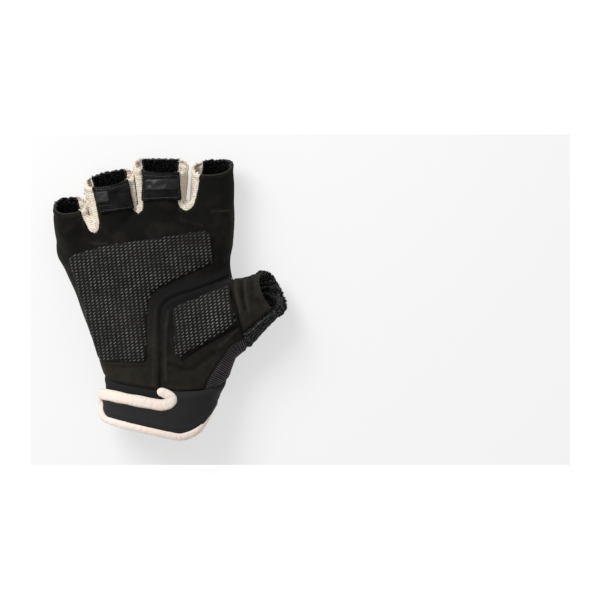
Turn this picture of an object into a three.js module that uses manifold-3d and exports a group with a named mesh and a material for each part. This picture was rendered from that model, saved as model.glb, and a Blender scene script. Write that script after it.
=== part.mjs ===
// A short-finger cycling glove for the right hand, lying on its back with the palm up, as if a hand
// filled it. Millimetres: +X towards the thumb, +Y towards the fingertips, +Z out of the palm. The
// back of the hand rests on z = 0.
//
// The glove's outer form is a body, four fingers and a thumb, each a loft through a table of sections,
// joined and parted again by narrow blades between the fingers. The same form drawn in by the wall's
// thickness is taken out of it, and the wall that is left is cut along the seams into its panels. Pads,
// pull tabs and the strap are walls of the same form drawn out a little further.

import * as THREE from "three";
import Module from "manifold-3d";
import { mergeVertices } from "three/addons/utils/BufferGeometryUtils.js";

const wasm = await Module();
wasm.setup();

// Driving dimensions
const WALL = 1.6; // suede, knit and cuff cloth with their lining
const GAP = 0.3; // between two pieces that are sewn together
const PAD_STEP = 1.3; // height of a grip pad's edge above the palm
const PAD_HEIGHT = 2.3; // height of its face
const PAD_BEVEL = 1.8; // width of its sloping edge
const TAB_WALL = 1.3; // folded webbing of a pull tab
const PATCH_WALL = 0.7; // rubber patch on a pull tab
const TAPE_WIDTH = 5.6; // cream binding tape, as folded
const TAPE_THICK = 2.8;
const SMOOTH = 0.12; // edges that stand out less than this are left out
const BLADE_HALF = 0.5; // half the gap between two fingers at its root
const BEYOND = 90; // far outside the glove, for the cutting shapes
const REACH = 4; // past both faces of the cuff and its strap

// Where the two halves of a section meet, as a share of its height
const SEAM_SHARE = 0.45;

// The body of the hand, a row for each section across it: where it is along Y, its centre's x, half its
// width, the heights of its back and palm faces, how square it is, and its turn about Z in degrees
const BODY = [
  { s: -84, x: -2.4, half: 27.0, base: 3.6, top: 36.0, square: 2.15, yaw: 0 },
  { s: -66, x: -2.2, half: 28.0, base: 2.8, top: 35.8, square: 2.15, yaw: 0 },
  { s: -53, x: -1.4, half: 29.6, base: 1.8, top: 35.3, square: 2.15, yaw: 0 },
  { s: -46, x: 0.0, half: 31.2, base: 0.6, top: 34.6, square: 2.2, yaw: 0 },
  { s: -40, x: 0.9, half: 33.2, base: -0.5, top: 33.9, square: 2.25, yaw: 0 },
  { s: -34, x: 1.1, half: 35.2, base: -0.9, top: 33.0, square: 2.3, yaw: 0 },
  { s: -25, x: 1.0, half: 37.9, base: -0.9, top: 31.8, square: 2.35, yaw: 0 },
  { s: -16, x: -0.4, half: 40.0, base: -0.9, top: 30.6, square: 2.4, yaw: 0 },
  { s: -5, x: -2.9, half: 41.6, base: -0.9, top: 29.4, square: 2.4, yaw: 0 },
  { s: 7, x: -6.2, half: 42.8, base: -0.9, top: 28.4, square: 2.4, yaw: 0 },
  { s: 17, x: -9.4, half: 43.9, base: -0.9, top: 27.8, square: 2.4, yaw: 1 },
  { s: 26, x: -10.9, half: 46.1, base: -0.9, top: 27.2, square: 2.4, yaw: 4 },
  { s: 34, x: -10.8, half: 47.4, base: -0.7, top: 26.4, square: 2.4, yaw: 7 },
  { s: 40, x: -11.0, half: 47.2, base: 0.2, top: 24.8, square: 2.4, yaw: 9 },
  { s: 45, x: -11.0, half: 46.0, base: 2.5, top: 22.0, square: 2.4, yaw: 9 },
  { s: 49, x: -11.0, half: 44.0, base: 6.0, top: 18.0, square: 2.4, yaw: 9 },
];

// The fingers, from inside the body to past their open ends. A rim is cut on a slant: palm and back are
// where it crosses the palm face and the back face
const FINGERS = {
  index: {
    rim: { palm: 66.2, back: 75.2 },
    rows: [
      { s: 10, x: 18.0, half: 11.5, base: 2.0, top: 25.0 },
      { s: 24, x: 22.4, half: 12.2, base: 0.0, top: 25.8 },
      { s: 36, x: 24.1, half: 12.2, base: -0.3, top: 25.4 },
      { s: 48, x: 24.5, half: 12.1, base: 1.2, top: 24.5 },
      { s: 60, x: 24.9, half: 11.6, base: 3.8, top: 24.0 },
      { s: 70, x: 25.3, half: 10.8, base: 6.8, top: 24.0 },
      { s: 82, x: 25.8, half: 10.4, base: 10.5, top: 25.0 },
    ],
  },
  middle: {
    rim: { palm: 67.0, back: 75.8 },
    rows: [
      { s: 16, x: -1.5, half: 12.6, base: 0.2, top: 26.5 },
      { s: 36, x: -1.3, half: 12.6, base: -0.6, top: 26.0 },
      { s: 50, x: -1.3, half: 12.7, base: 1.0, top: 25.0 },
      { s: 60, x: -1.5, half: 13.4, base: 3.6, top: 24.6 },
      { s: 72, x: -1.8, half: 14.0, base: 7.2, top: 24.8 },
      { s: 84, x: -2.0, half: 13.9, base: 11.0, top: 26.0 },
    ],
  },
  ring: {
    rim: { palm: 60.2, back: 69.0 },
    rows: [
      { s: 10, x: -25.0, half: 12.0, base: 0.2, top: 26.0 },
      { s: 30, x: -25.8, half: 12.2, base: -0.6, top: 25.5 },
      { s: 45, x: -26.8, half: 12.6, base: 0.9, top: 24.5 },
      { s: 56, x: -28.9, half: 13.2, base: 3.6, top: 24.0 },
      { s: 66, x: -29.6, half: 12.3, base: 6.5, top: 24.2 },
      { s: 78, x: -30.4, half: 11.8, base: 10.0, top: 25.0 },
    ],
  },
  little: {
    rim: { palm: 45.8, back: 55.2 },
    rows: [
      { s: 12, x: -38.5, half: 8.5, base: 4.0, top: 21.0 },
      { s: 26, x: -45.2, half: 10.9, base: 0.8, top: 23.2 },
      { s: 36, x: -48.2, half: 10.6, base: 0.9, top: 22.5 },
      { s: 46, x: -50.3, half: 9.4, base: 3.0, top: 21.5 },
      { s: 54, x: -51.1, half: 8.3, base: 5.3, top: 21.3 },
      { s: 66, x: -52.6, half: 8.0, base: 9.0, top: 22.0 },
    ],
  },
};
const FINGER_SQUARE = 2.2;

// The thumb, a row for each section across it, from inside the ball of the thumb to past its open end.
// yaw is the way that the thumb points, in degrees from +X
const THUMB = [
  { s: 0, x: 14.0, y: -20.0, half: 24.0, base: 0.5, top: 30.5, yaw: 14 },
  { s: 1, x: 28.0, y: -12.5, half: 21.8, base: 1.5, top: 32.2, yaw: 14 },
  { s: 2, x: 40.2, y: -6.9, half: 18.3, base: 3.6, top: 31.0, yaw: 15 },
  { s: 3, x: 48.6, y: -1.7, half: 14.5, base: 6.0, top: 29.6, yaw: 19 },
  { s: 4, x: 57.4, y: 4.2, half: 12.4, base: 8.5, top: 28.4, yaw: 23 },
  { s: 5, x: 66.0, y: 8.4, half: 12.2, base: 10.5, top: 28.0, yaw: 24 },
];
const THUMB_SQUARE = 2.15;
const THUMB_REACH = 23; // from the mouth's middle to beyond the thumb's sides
const THUMB_MOUTH = { x: 54.7, y: 5.0, z: 28, yaw: 27, lean: 18.5 }; // a point of the cut, and its tilt
const THUMB_SPLIT = { x: 57.8, y: 4.2, z: 17.4, yaw: 20, roll: 20 }; // between suede front and terry back

// The gaps between the fingers: the root and a point further up, the width of the cream strip's V
// as a share of the usual one, and how far its point reaches below the root
const CLEFTS = {
  index_middle: { root: [11.5, 53.0], far: [13.3, 72.0], flare: 1.3, share: 1.15, reach: 5.2 },
  middle_ring: { root: [-14.3, 50.2], far: [-16.4, 67.8], flare: 0.2, share: 0.85, reach: 3.8 },
  ring_little: { root: [-37.8, 39.4], far: [-43.0, 57.2], flare: 1.4, share: 0.92, reach: 3.6 },
};
const STRIP = [
  { s: 0, half: 0.8 },
  { s: 1.4, half: 2.0 },
  { s: 4.5, half: 3.2 },
  { s: 10, half: 4.3 },
  { s: 24, half: 5.4 },
  { s: 48, half: 6.2 },
];

// The side seam's height along the glove, where palm and back meet
const SIDE_SEAM = [
  { s: -90, z: 18.4 },
  { s: -53, z: 16.8 },
  { s: -40, z: 15.0 },
  { s: 0, z: 13.0 },
  { s: 34, z: 11.8 },
  { s: 48, z: 12.0 },
  { s: 60, z: 13.4 },
  { s: 72, z: 15.4 },
  { s: 90, z: 19.0 },
];

// Seams seen from above, as points [x, y]
const THENAR_SEAM = [[-1.8, -64], [-1.8, -30], [-1.8, -9], [-0.6, -3], [3, 0.6], [11, 3.6], [21, 6.9],
  [30, 10.4], [38, 14.6], [46, 20]];
const THUMB_SEAM = [[38.8, 60], [38.7, 40], [38.4, 24], [36.4, 13.6], [35.3, 9], [36.2, 3], [38.4, -4],
  [40.6, -13], [42.4, -20], [44.4, -27], [47, -42]];
const KNIT_SEAM = [[64, -14], [52, -18], [43, -21.5], [37, -24.4], [31.8, -31.8], [26.8, -38.7],
  [23, -46.6], [20, -60]];

// Grip pads seen from above, corner by corner with each corner's radius
const PAD_PALM = [
  { x: -51.6, y: 23.6, r: 4 }, { x: -28, y: 29.6, r: 40 }, { x: 24.8, y: 37.2, r: 4 },
  { x: 26.2, y: 19.4, r: 4 }, { x: -8.4, y: 3.6, r: 12 }, { x: -8.6, y: -33, r: 4 },
  { x: -34.6, y: -32.6, r: 5 },
];
const PAD_THENAR = [
  { x: 4.0, y: -3.6, r: 3.5 }, { x: 33.2, y: 7.6, r: 2.5 }, { x: 36.6, y: -14.4, r: 3 },
  { x: 6.0, y: -32.0, r: 3 },
];

// Pull tabs and their patches seen from above
const TAB_MIDDLE = [[-10.9, 72], [7.3, 72], [8.7, 52.6], [-11.9, 52.0]];
const TAB_RING = [[-37.4, 66], [-20.2, 66], [-16.4, 47.8], [-33.6, 45.4]];
const PATCH_MIDDLE = [
  { x: -10.0, y: 57.2, r: 1 }, { x: 6.9, y: 57.8, r: 1 }, { x: 6.4, y: 64.2, r: 1 },
  { x: -9.7, y: 63.8, r: 1 },
];
const PATCH_RING = [
  { x: -35.2, y: 50.6, r: 0.8 }, { x: -28.4, y: 51.4, r: 0.8 }, { x: -29.2, y: 57.8, r: 0.8 },
  { x: -36.0, y: 57.2, r: 0.8 },
];

// The cuff, by the angle round the wrist: 0 at the thumb's side, 90 at the palm, 270 at the back
const CUFF_TOP = [ // its seam with the hand, which arches up the back
  { s: -90, y: -21.6 },
  { s: -68, y: -22.3 },
  { s: -47, y: -25.0 },
  { s: -24, y: -32.2 },
  { s: -11, y: -38.0 },
  { s: 0, y: -42.2 },
  { s: 20, y: -46.0 },
  { s: 45, y: -48.2 },
  { s: 90, y: -47.6 },
  { s: 135, y: -45.2 },
  { s: 160, y: -43.0 },
  { s: 180, y: -39.8 },
  { s: 191, y: -36.0 },
  { s: 204, y: -30.2 },
  { s: 227, y: -24.4 },
  { s: 248, y: -22.3 },
  { s: 270, y: -21.6 },
];
const MOUTH = [ // the middle of the binding tape
  { s: -90, y: -52.0 },
  { s: -45, y: -51.6 },
  { s: 0, y: -54.8 },
  { s: 20, y: -61.2 },
  { s: 35, y: -67.2 },
  { s: 50, y: -70.4 },
  { s: 70, y: -70.0 },
  { s: 100, y: -67.8 },
  { s: 138, y: -64.6 },
  { s: 180, y: -60.2 },
  { s: 225, y: -54.6 },
  { s: 270, y: -52.0 },
];
const SLIT = { y: -55.2, rise: -0.19 }; // the tape along the strap's upper edge, at x = 0, and its slope
const STRAP_LIFT = WALL + 0.4; // the strap lies this far out over the band
const STRAP_START = 0; // angles
const STRAP_LAPPED = 50;
const STRAP_END = 183;
const BAND_START = 66;
const BAND_END = 354;
const HOOK = { x: 0.8, y: -51.6, radius: 3.3 };
const HOOK_END = [-3.6, -46.9];

const degrees = THREE.MathUtils.degToRad;

// A table's column at station s, on a smooth curve through its rows
function at(rows, column, s) {
  let next = 1;
  while (next < rows.length - 1 && rows[next].s < s) next += 1;
  const [before, a, b, after] = [-2, -1, 0, 1].map(
    (step) => rows[THREE.MathUtils.clamp(next + step, 0, rows.length - 1)],
  );
  const slope = (from, to) => (to[column] - from[column]) / (to.s - from.s);
  const span = b.s - a.s;
  const t = THREE.MathUtils.clamp((s - a.s) / span, 0, 1);
  const leave = before === a ? slope(a, b) : slope(before, b);
  const arrive = after === b ? slope(a, b) : slope(a, after);
  return (
    (2 * t ** 3 - 3 * t ** 2 + 1) * a[column] +
    (t ** 3 - 2 * t ** 2 + t) * span * leave +
    (3 * t ** 2 - 2 * t ** 3) * b[column] +
    (t ** 3 - t ** 2) * span * arrive
  );
}

// A solid from a geometry, turned outwards if it is inside out
function solid(geometry) {
  const bare = new THREE.BufferGeometry().setAttribute("position", geometry.getAttribute("position"));
  bare.setIndex(geometry.index);
  const merged = mergeVertices(bare, 1e-4);
  const vertProperties = merged.getAttribute("position").array;
  const triVerts = new Uint32Array(merged.index.array);
  const made = new wasm.Manifold(new wasm.Mesh({ numProp: 3, vertProperties, triVerts }));
  if (made.volume() > 0) return made;
  return new wasm.Manifold(
    new wasm.Mesh({ numProp: 3, vertProperties, triVerts: triVerts.toReversed() }),
  );
}

// A solid through rings of points, capped at both ends or closed on itself
function loft(rings, closed = false) {
  const size = rings[0].length;
  const index = [];
  rings.forEach((_, i) => {
    if (i === rings.length - 1 && !closed) return;
    const next = ((i + 1) % rings.length) * size;
    for (let j = 0; j < size; j += 1) {
      const k = (j + 1) % size;
      index.push(i * size + j, next + j, next + k, i * size + j, next + k, i * size + k);
    }
  });
  if (!closed) {
    const last = (rings.length - 1) * size;
    for (let j = 1; j < size - 1; j += 1) {
      index.push(0, j, j + 1, last, last + j + 1, last + j);
    }
  }
  const geometry = new THREE.BufferGeometry().setFromPoints(rings.flat());
  return solid(geometry.setIndex(index));
}

// A solid that stands on an outline in the XY plane, from below the glove to above it
function prism(shape) {
  const settings = { depth: BEYOND, bevelEnabled: false, curveSegments: 4 };
  const geometry = new THREE.ExtrudeGeometry(shape, settings);
  return solid(geometry.translate(0, 0, -BEYOND / 3));
}

const outline = (points) => new THREE.Shape(points.map(([x, y]) => new THREE.Vector2(x, y)));

// A polygon with rounded corners, drawn in by inset
function rounded(corners, inset = 0) {
  const points = corners.map((corner) => new THREE.Vector2(corner.x, corner.y));
  const count = points.length;
  const ways = points.map((p, i) => points[(i + 1) % count].clone().sub(p).normalize());
  const turned = Math.sign(THREE.ShapeUtils.area(points));
  const moved = points.map((p, i) => {
    const [before, after] = [ways[(i + count - 1) % count], ways[i]];
    const square = 1 + before.dot(after);
    const inwards = new THREE.Vector2(-before.y - after.y, before.x + after.x);
    return p.clone().addScaledVector(inwards, (turned * inset) / square);
  });
  const shape = new THREE.Shape();
  moved.forEach((p, i) => {
    const [before, after] = [ways[(i + count - 1) % count], ways[i]];
    const turn = Math.acos(THREE.MathUtils.clamp(before.dot(after), -1, 1));
    const reach = Math.max(corners[i].r - inset, 0.3) * Math.tan(turn / 2);
    const enter = p.clone().addScaledVector(before, -reach);
    const leave = p.clone().addScaledVector(after, reach);
    if (i === 0) shape.moveTo(enter.x, enter.y);
    else shape.lineTo(enter.x, enter.y);
    shape.quadraticCurveTo(p.x, p.y, leave.x, leave.y);
  });
  return shape;
}

// All that lies on one side of a seam line: the line, moved by grow towards its left, and far corners
function sideOf(line, corners, grow = 0) {
  const curve = new THREE.SplineCurve(line.map(([x, y]) => new THREE.Vector2(x, y)));
  const steps = 2 * line.length;
  const points = Array.from({ length: steps + 1 }, (_, i) => {
    const way = curve.getTangent(i / steps);
    const p = curve.getPoint(i / steps);
    return [p.x - way.y * grow, p.y + way.x * grow];
  });
  return prism(outline([...points, ...corners]));
}

// A point of a section at an angle round it, in the section's own turn, with the face moved out by offset
function sectionPoint(section, turn, offset) {
  const [c, s] = [Math.cos(turn), Math.sin(turn)];
  const power = 2 / section.square;
  const seam = section.base + SEAM_SHARE * (section.top - section.base);
  const height = s > 0 ? section.top - seam : seam - section.base;
  const across = (section.half + offset) * Math.sign(c) * Math.abs(c) ** power;
  const up = (height + offset) * Math.sign(s) * Math.abs(s) ** power;
  const [wayX, wayY] = [Math.cos(degrees(section.yaw)), Math.sin(degrees(section.yaw))];
  return new THREE.Vector3(section.x + across * wayX, section.y + across * wayY, seam + up);
}

function sectionRing(section, sides, offset) {
  return Array.from({ length: sides }, (_, i) => {
    const turn = (2 * Math.PI * i) / sides;
    return sectionPoint(section, turn, typeof offset === "number" ? offset : offset(turn));
  });
}

const column = (rows, s) =>
  Object.fromEntries(Object.keys(rows[0]).map((name) => [name, at(rows, name, s)]));

function stations(rows, step, drawnIn = 0) {
  const [first, last] = [rows[0].s, rows.at(-1).s - drawnIn];
  const count = Math.ceil((last - first) / step);
  return Array.from({ length: count + 1 }, (_, i) => first + ((last - first) * i) / count);
}

const bodySection = (s) => ({ ...column(BODY, s), y: s });

function bodySolid(offset) {
  const inner = Math.max(0, -offset);
  return loft(stations(BODY, 9, inner).map((s) => sectionRing(bodySection(s), 30, offset)));
}

function fingerSolid(rows, offset) {
  const section = (s) => ({ ...column(rows, s), y: s, yaw: 0, square: FINGER_SQUARE });
  return loft(stations(rows, 10).map((s) => sectionRing(section(s), 16, offset)));
}

function thumbSolid(offset) {
  const section = (s) => {
    const row = column(THUMB, s);
    return { ...row, yaw: row.yaw + 90, square: THUMB_SQUARE };
  };
  return loft(stations(THUMB, 0.625).map((s) => sectionRing(section(s), 18, offset)));
}

// The narrow gap between two fingers, with a round root, widened by grow
function blade(cleft, grow) {
  const root = new THREE.Vector2(...cleft.root);
  const way = new THREE.Vector2(...cleft.far).sub(root).normalize();
  const side = new THREE.Vector2(way.y, -way.x);
  const far = root.clone().addScaledVector(way, BEYOND / 2);
  const wide = BLADE_HALF + cleft.flare + grow;
  const points = [far.clone().addScaledVector(side, -wide)];
  const centre = root.clone().addScaledVector(way, BLADE_HALF);
  for (let i = 0; i <= 6; i += 1) {
    const turn = Math.PI * (1 + i / 6);
    const round = side.clone().multiplyScalar(Math.cos(turn)).addScaledVector(way, Math.sin(turn));
    points.push(centre.clone().addScaledVector(round, BLADE_HALF + grow));
  }
  points.push(far.clone().addScaledVector(side, wide));
  return prism(new THREE.Shape(points));
}

// The V that a cream strip covers, seen from above, widened by grow
function stripRegion(cleft, grow) {
  const root = new THREE.Vector2(...cleft.root);
  const way = new THREE.Vector2(...cleft.far).sub(root).normalize();
  const side = new THREE.Vector2(way.y, -way.x);
  const tip = root.clone().addScaledVector(way, -cleft.reach - grow);
  const edge = (sign) =>
    STRIP.map((row) => {
      const half = row.half * cleft.share + grow;
      return tip.clone().addScaledVector(way, row.s).addScaledVector(side, sign * half);
    });
  return prism(new THREE.Shape([...edge(1), ...edge(-1).reverse()]));
}

const clefts = Object.values(CLEFTS);
const everywhere = outline([[-BEYOND, -BEYOND], [BEYOND, -BEYOND], [BEYOND, BEYOND], [-BEYOND, BEYOND]]);
const above = (z) => prism(everywhere).translate([0, 0, BEYOND / 3 + z]);

// The whole outer form, moved out by offset, and flattened where it rests
function form(offset) {
  const limbs = [
    bodySolid(offset),
    thumbSolid(offset),
    ...Object.values(FINGERS).map((finger) => fingerSolid(finger.rows, offset)),
  ];
  const joined = wasm.Manifold.union(limbs);
  const blades = clefts.map((cleft) => blade(cleft, -Math.min(offset, BLADE_HALF * 0.4)));
  return joined.subtract(wasm.Manifold.union(blades)).intersect(above(-offset));
}

// A slab whose profile lies in the YZ plane and runs right across the glove
function slab(profile) {
  const shape = outline(profile);
  const geometry = new THREE.ExtrudeGeometry(shape, { depth: 2 * BEYOND, bevelEnabled: false });
  const axes = new THREE.Matrix4().makeBasis(
    new THREE.Vector3(0, 1, 0),
    new THREE.Vector3(0, 0, 1),
    new THREE.Vector3(1, 0, 0),
  );
  return solid(geometry.applyMatrix4(axes).translate(-BEYOND, 0, 0));
}

// All that lies past the fingers' slanted rims
function pastRims() {
  const names = Object.keys(FINGERS);
  const lines = Object.values(CLEFTS).map(({ root, far }) => [root, far]);
  const borders = [[[BEYOND, 30], [BEYOND, 90]], ...lines, [[-BEYOND, 30], [-BEYOND, 90]]];
  const pieces = names.map((name, i) => {
    const { rim, rows } = FINGERS[name];
    const stretch = ([root, far]) => {
      const lean = (far[0] - root[0]) / (far[1] - root[1]);
      return [[root[0] + lean * (BEYOND - root[1]), BEYOND], [root[0] + lean * (35 - root[1]), 35]];
    };
    const [right, left] = [stretch(borders[i]), stretch(borders[i + 1])];
    const between = prism(outline([...right, ...left.reverse()]));
    const [low, high] = [at(rows, "base", rim.back), at(rows, "top", rim.palm)];
    const lean = (rim.palm - rim.back) / (high - low);
    const line = (z) => [rim.back + lean * (z - low), z];
    return between.intersect(slab([line(-20), [2 * BEYOND, -20], [2 * BEYOND, 60], line(60)]));
  });
  return wasm.Manifold.union(pieces);
}

// All that lies past the thumb's slanted mouth
function pastMouth({ x, y, z, yaw, lean }) {
  const geometry = new THREE.BoxGeometry(THUMB_REACH, 2 * THUMB_REACH, BEYOND);
  geometry.translate(THUMB_REACH / 2, 0, 0).rotateY(-degrees(lean)).rotateZ(degrees(yaw));
  return solid(geometry.translate(x, y, z));
}

// The half of the thumb that the suede covers
function thumbFrontHalf(grow) {
  const { x, y, z, yaw, roll } = THUMB_SPLIT;
  const geometry = new THREE.BoxGeometry(2 * BEYOND, 2 * BEYOND, BEYOND);
  geometry.translate(0, 0, BEYOND / 2 - grow).rotateX(-degrees(roll)).translate(0, 0, 2.2);
  return solid(geometry.rotateZ(degrees(yaw)).translate(x, y, z));
}

// Above the side seam
function palmSide(grow) {
  const seam = stations(SIDE_SEAM, 10).map((s) => [s, at(SIDE_SEAM, "z", s) - grow]);
  return slab([...seam, [BEYOND, BEYOND], [-BEYOND, BEYOND]]);
}

// Round the wrist
const roundWrist = (rows) => (angle) => at(rows, "y", angle > 270 ? angle - 360 : angle);
const cuffTop = roundWrist(CUFF_TOP);
const mouth = roundWrist(MOUTH);

// A point of the wrist's face at an angle round its axis, at reach outside it
function wristPoint(angle, y, offset) {
  const section = bodySection(y);
  const seam = section.base + SEAM_SHARE * (section.top - section.base);
  const [c, s] = [Math.cos(degrees(angle)), Math.sin(degrees(angle))];
  const height = (s > 0 ? section.top - seam : seam - section.base) + offset;
  const width = section.half + offset;
  const radius =
    ((Math.abs(c) / width) ** section.square + (Math.abs(s) / height) ** section.square) **
    (-1 / section.square);
  return new THREE.Vector3(section.x + radius * c, y, seam + radius * s);
}

// The angle round the wrist of a place seen from above
function angleAt(x, y) {
  const section = bodySection(y);
  const seam = section.base + SEAM_SHARE * (section.top - section.base);
  const share = THREE.MathUtils.clamp(Math.abs(x - section.x) / section.half, 0, 1);
  const height = (section.top - seam) * (1 - share ** section.square) ** (1 / section.square);
  return THREE.MathUtils.radToDeg(Math.atan2(height, x - section.x));
}

// A stretch round the wrist between two angles, from one height along the arm to another
function sector(from, to, low, high) {
  const count = Math.ceil((to - from) / 10);
  const closed = to - from >= 360;
  const rings = Array.from({ length: closed ? count : count + 1 }, (_, i) => {
    const angle = from + ((to - from) * i) / count;
    return [[low, -REACH], [low, REACH], [high, REACH], [high, -REACH]].map(([edge, offset]) =>
      wristPoint(angle, edge(angle), offset),
    );
  });
  return loft(rings, closed);
}

const eased = (t) => THREE.MathUtils.smoothstep(t, 0, 1);
const strapLift = (angle) =>
  STRAP_LIFT * eased((angle - STRAP_START) / (STRAP_LAPPED - STRAP_START));

// The strap's own wall: over the band from the palm to the far side, and level with it at the thumb's side
function strapWall() {
  const lift = (turn) => {
    const angle = (THREE.MathUtils.radToDeg(turn) + 90) % 360 - 90;
    return angle > 200 ? STRAP_LIFT : strapLift(angle);
  };
  const wrist = stations(BODY, 9).filter((s) => s < -30);
  const shell = (drawnIn) =>
    loft(wrist.map((s) => sectionRing(bodySection(s), 30, (turn) => lift(turn) - drawnIn)));
  return shell(0).subtract(shell(WALL));
}

// Tape along a path of [angle, y] points on the wrist, its middle at offset(angle) from the face
function tape(path, offset, grow, steps) {
  const curve = new THREE.SplineCurve(path.map(([angle, y]) => new THREE.Vector2(angle, y)));
  const [half, thick] = [TAPE_WIDTH / 2 + grow, TAPE_THICK / 2 + grow * 3];
  const corner = [0.72, 0.45];
  const profile = [[1, corner[1]], [corner[0], 1], [-corner[0], 1], [-1, corner[1]]];
  const section = [...profile, ...profile.map(([u, v]) => [-u, -v])];
  const rings = Array.from({ length: steps + 1 }, (_, i) => {
    const place = (t) => {
      const p = curve.getPoint(THREE.MathUtils.clamp(t, 0, 1));
      return wristPoint(p.x, p.y, offset(p.x));
    };
    const t = i / steps;
    const here = curve.getPoint(t);
    const way = place(t + 0.002).sub(place(t - 0.002)).normalize();
    const round = wristPoint(here.x + 1, here.y, 0).sub(wristPoint(here.x - 1, here.y, 0));
    const along = wristPoint(here.x, here.y + 1, 0).sub(wristPoint(here.x, here.y - 1, 0));
    const normal = along.cross(round).normalize();
    const across = normal.clone().cross(way).normalize();
    const middle = place(t);
    return section.map(([u, v]) =>
      middle.clone().addScaledVector(across, u * half).addScaledVector(normal, v * thick),
    );
  });
  return loft(rings);
}

const slitLine = (x) => SLIT.y + SLIT.rise * x;

// From the thumb's side along the strap's lower edge, round its end, back along its upper edge and
// round the hook at the slit
function strapPath() {
  const lower = [0, 15, 35, 55, 75, 95, 115, 135, 152, 165].map((angle) => [angle, mouth(angle)]);
  const end = STRAP_END;
  const bottom = [[175, mouth(175) + 1.2], [end - 1, mouth(end) + 4.2]];
  const top = [[end, -53.6], [end - 2.5, -50.6], [end - 9, slitLine(-29)]];
  const upper = [-27, -22, -16, -10, -4].map((x) => [angleAt(x, slitLine(x)), slitLine(x)]);
  const hook = [-80, -45, -10, 25, 55, 85].map((turn) => {
    const x = HOOK.x + HOOK.radius * Math.cos(degrees(turn));
    const y = HOOK.y + HOOK.radius * Math.sin(degrees(turn));
    return [angleAt(x, y), y];
  });
  return [...lower, ...bottom, ...top, ...upper, ...hook, [angleAt(...HOOK_END), HOOK_END[1]]];
}

// From the band's end under the strap, over the far side and the back to the thumb's side
function bandPath() {
  const angles = Array.from({ length: 20 }, (_, i) => BAND_START + ((BAND_END - BAND_START) * i) / 19);
  return angles.map((angle) => [angle, mouth(angle) + (angle < 180 ? 1.2 : 1.2 * eased((200 - angle) / 20))]);
}

const strapTapeOffset = (angle) => strapLift(angle) - 0.3 - 0.5 * (1 - eased(angle / STRAP_LAPPED));
const bandTapeOffset = (angle) => -1.55 + 0.75 * eased((angle - 190) / 25);

// Cutting shapes
const rightOf = [[BEYOND, -BEYOND], [BEYOND, BEYOND]];
const thumbRegion = (grow) => sideOf(THUMB_SEAM, rightOf, -grow);
const thenarRegion = (grow) => sideOf(THENAR_SEAM, [[BEYOND, 20], [BEYOND, -BEYOND], [-1.8, -BEYOND]], grow);
const palmRegion = (grow) =>
  palmSide(grow).intersect(
    sideOf(KNIT_SEAM, [[20, -BEYOND], [-BEYOND, -BEYOND], [-BEYOND, BEYOND], [BEYOND, BEYOND], [BEYOND, -14]],
      grow),
  );
const cuffRegion = (grow) => sector(0, 360, () => -BEYOND, (angle) => cuffTop(angle) + grow);

// The wall, and its panels
const hollow = form(-WALL);
const face = form(0);
const rims = pastRims();
const trimmed = face.subtract(hollow).subtract(rims).subtract(pastMouth(THUMB_MOUTH));
const strips = clefts.map((cleft) => trimmed.intersect(stripRegion(cleft, 0)));
const sewn = wasm.Manifold.union([
  cuffRegion(GAP),
  ...clefts.map((cleft) => stripRegion(cleft, GAP)),
]);
const panels = trimmed.subtract(sewn);
const thumb = panels.intersect(thumbRegion(0));
const hand = panels.subtract(thumbRegion(GAP));
const palm = hand.intersect(palmRegion(0));

// A sheet that lies over the palm, from one height above it to another
const forms = new Map();
function sheet(low, high, region) {
  const raised = (height) => {
    if (!forms.has(height)) forms.set(height, form(height));
    return forms.get(height);
  };
  return raised(high).subtract(raised(low)).intersect(region).intersect(palmSide(-1.5));
}

function pad(corners) {
  const edge = sheet(GAP, PAD_STEP, prism(rounded(corners)));
  return edge.add(sheet(GAP, PAD_HEIGHT, prism(rounded(corners, PAD_BEVEL))));
}

const tab = (points) => sheet(GAP, GAP + TAB_WALL, prism(outline(points))).subtract(rims);
const ON_TAB = 2 * GAP + TAB_WALL;
const patch = (corners) => sheet(ON_TAB, ON_TAB + PATCH_WALL, prism(rounded(corners)));

// Cuff, strap and their tapes
const strapTapePath = strapPath();
const bandTapePath = bandPath();
const strapTape = (grow) => tape(strapTapePath, strapTapeOffset, grow, 56);
const bandTape = (grow) => tape(bandTapePath, bandTapeOffset, grow, 32);
const middleAngle = angleAt(HOOK.x + 2, HOOK.y);
const strapRegion = sector(STRAP_START, middleAngle, mouth, () => 0).add(
  sector(middleAngle - 0.5, STRAP_END, mouth, (angle) => slitLine(wristPoint(angle, -52, 0).x)),
);
const strap = strapWall().intersect(strapRegion).intersect(cuffRegion(0)).subtract(strapTape(GAP));
const band = trimmed
  .intersect(sector(BAND_START, BAND_END, (angle) => mouth(angle) + 0.6, () => 0))
  .intersect(cuffRegion(0))
  .subtract(bandTape(GAP));

const finish = (color, roughness) => new THREE.MeshStandardMaterial({ color, roughness, metalness: 0 });
const suede = finish("#2a2622", 0.95);
const knit = finish("#211d20", 0.9);
const terry = finish("#1c1d1f", 1);
const cream = finish("#dccfb9", 0.9);
const stretchCloth = finish("#242424", 0.75);
const grip = finish("#34322f", 0.6);
const webbing = finish("#1d1d1e", 0.8);
const rubber = finish("#33363a", 0.35);

// The largest of the bodies that a cut leaves, without the crumbs beside it
function largest(cut) {
  return cut.decompose().reduce((a, b) => (a.volume() > b.volume() ? a : b));
}

const glove = new THREE.Group();

function place(name, cut, material) {
  const { numProp, vertProperties, triVerts } = largest(cut.simplify(SMOOTH)).getMesh();
  if (numProp !== 3) throw new Error(`${name} carries more than positions`);
  const geometry = new THREE.BufferGeometry();
  geometry.setAttribute("position", new THREE.BufferAttribute(vertProperties, 3));
  geometry.setIndex(new THREE.BufferAttribute(triVerts, 1));
  const mesh = new THREE.Mesh(geometry, material);
  mesh.name = name;
  glove.add(mesh);
}

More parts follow.
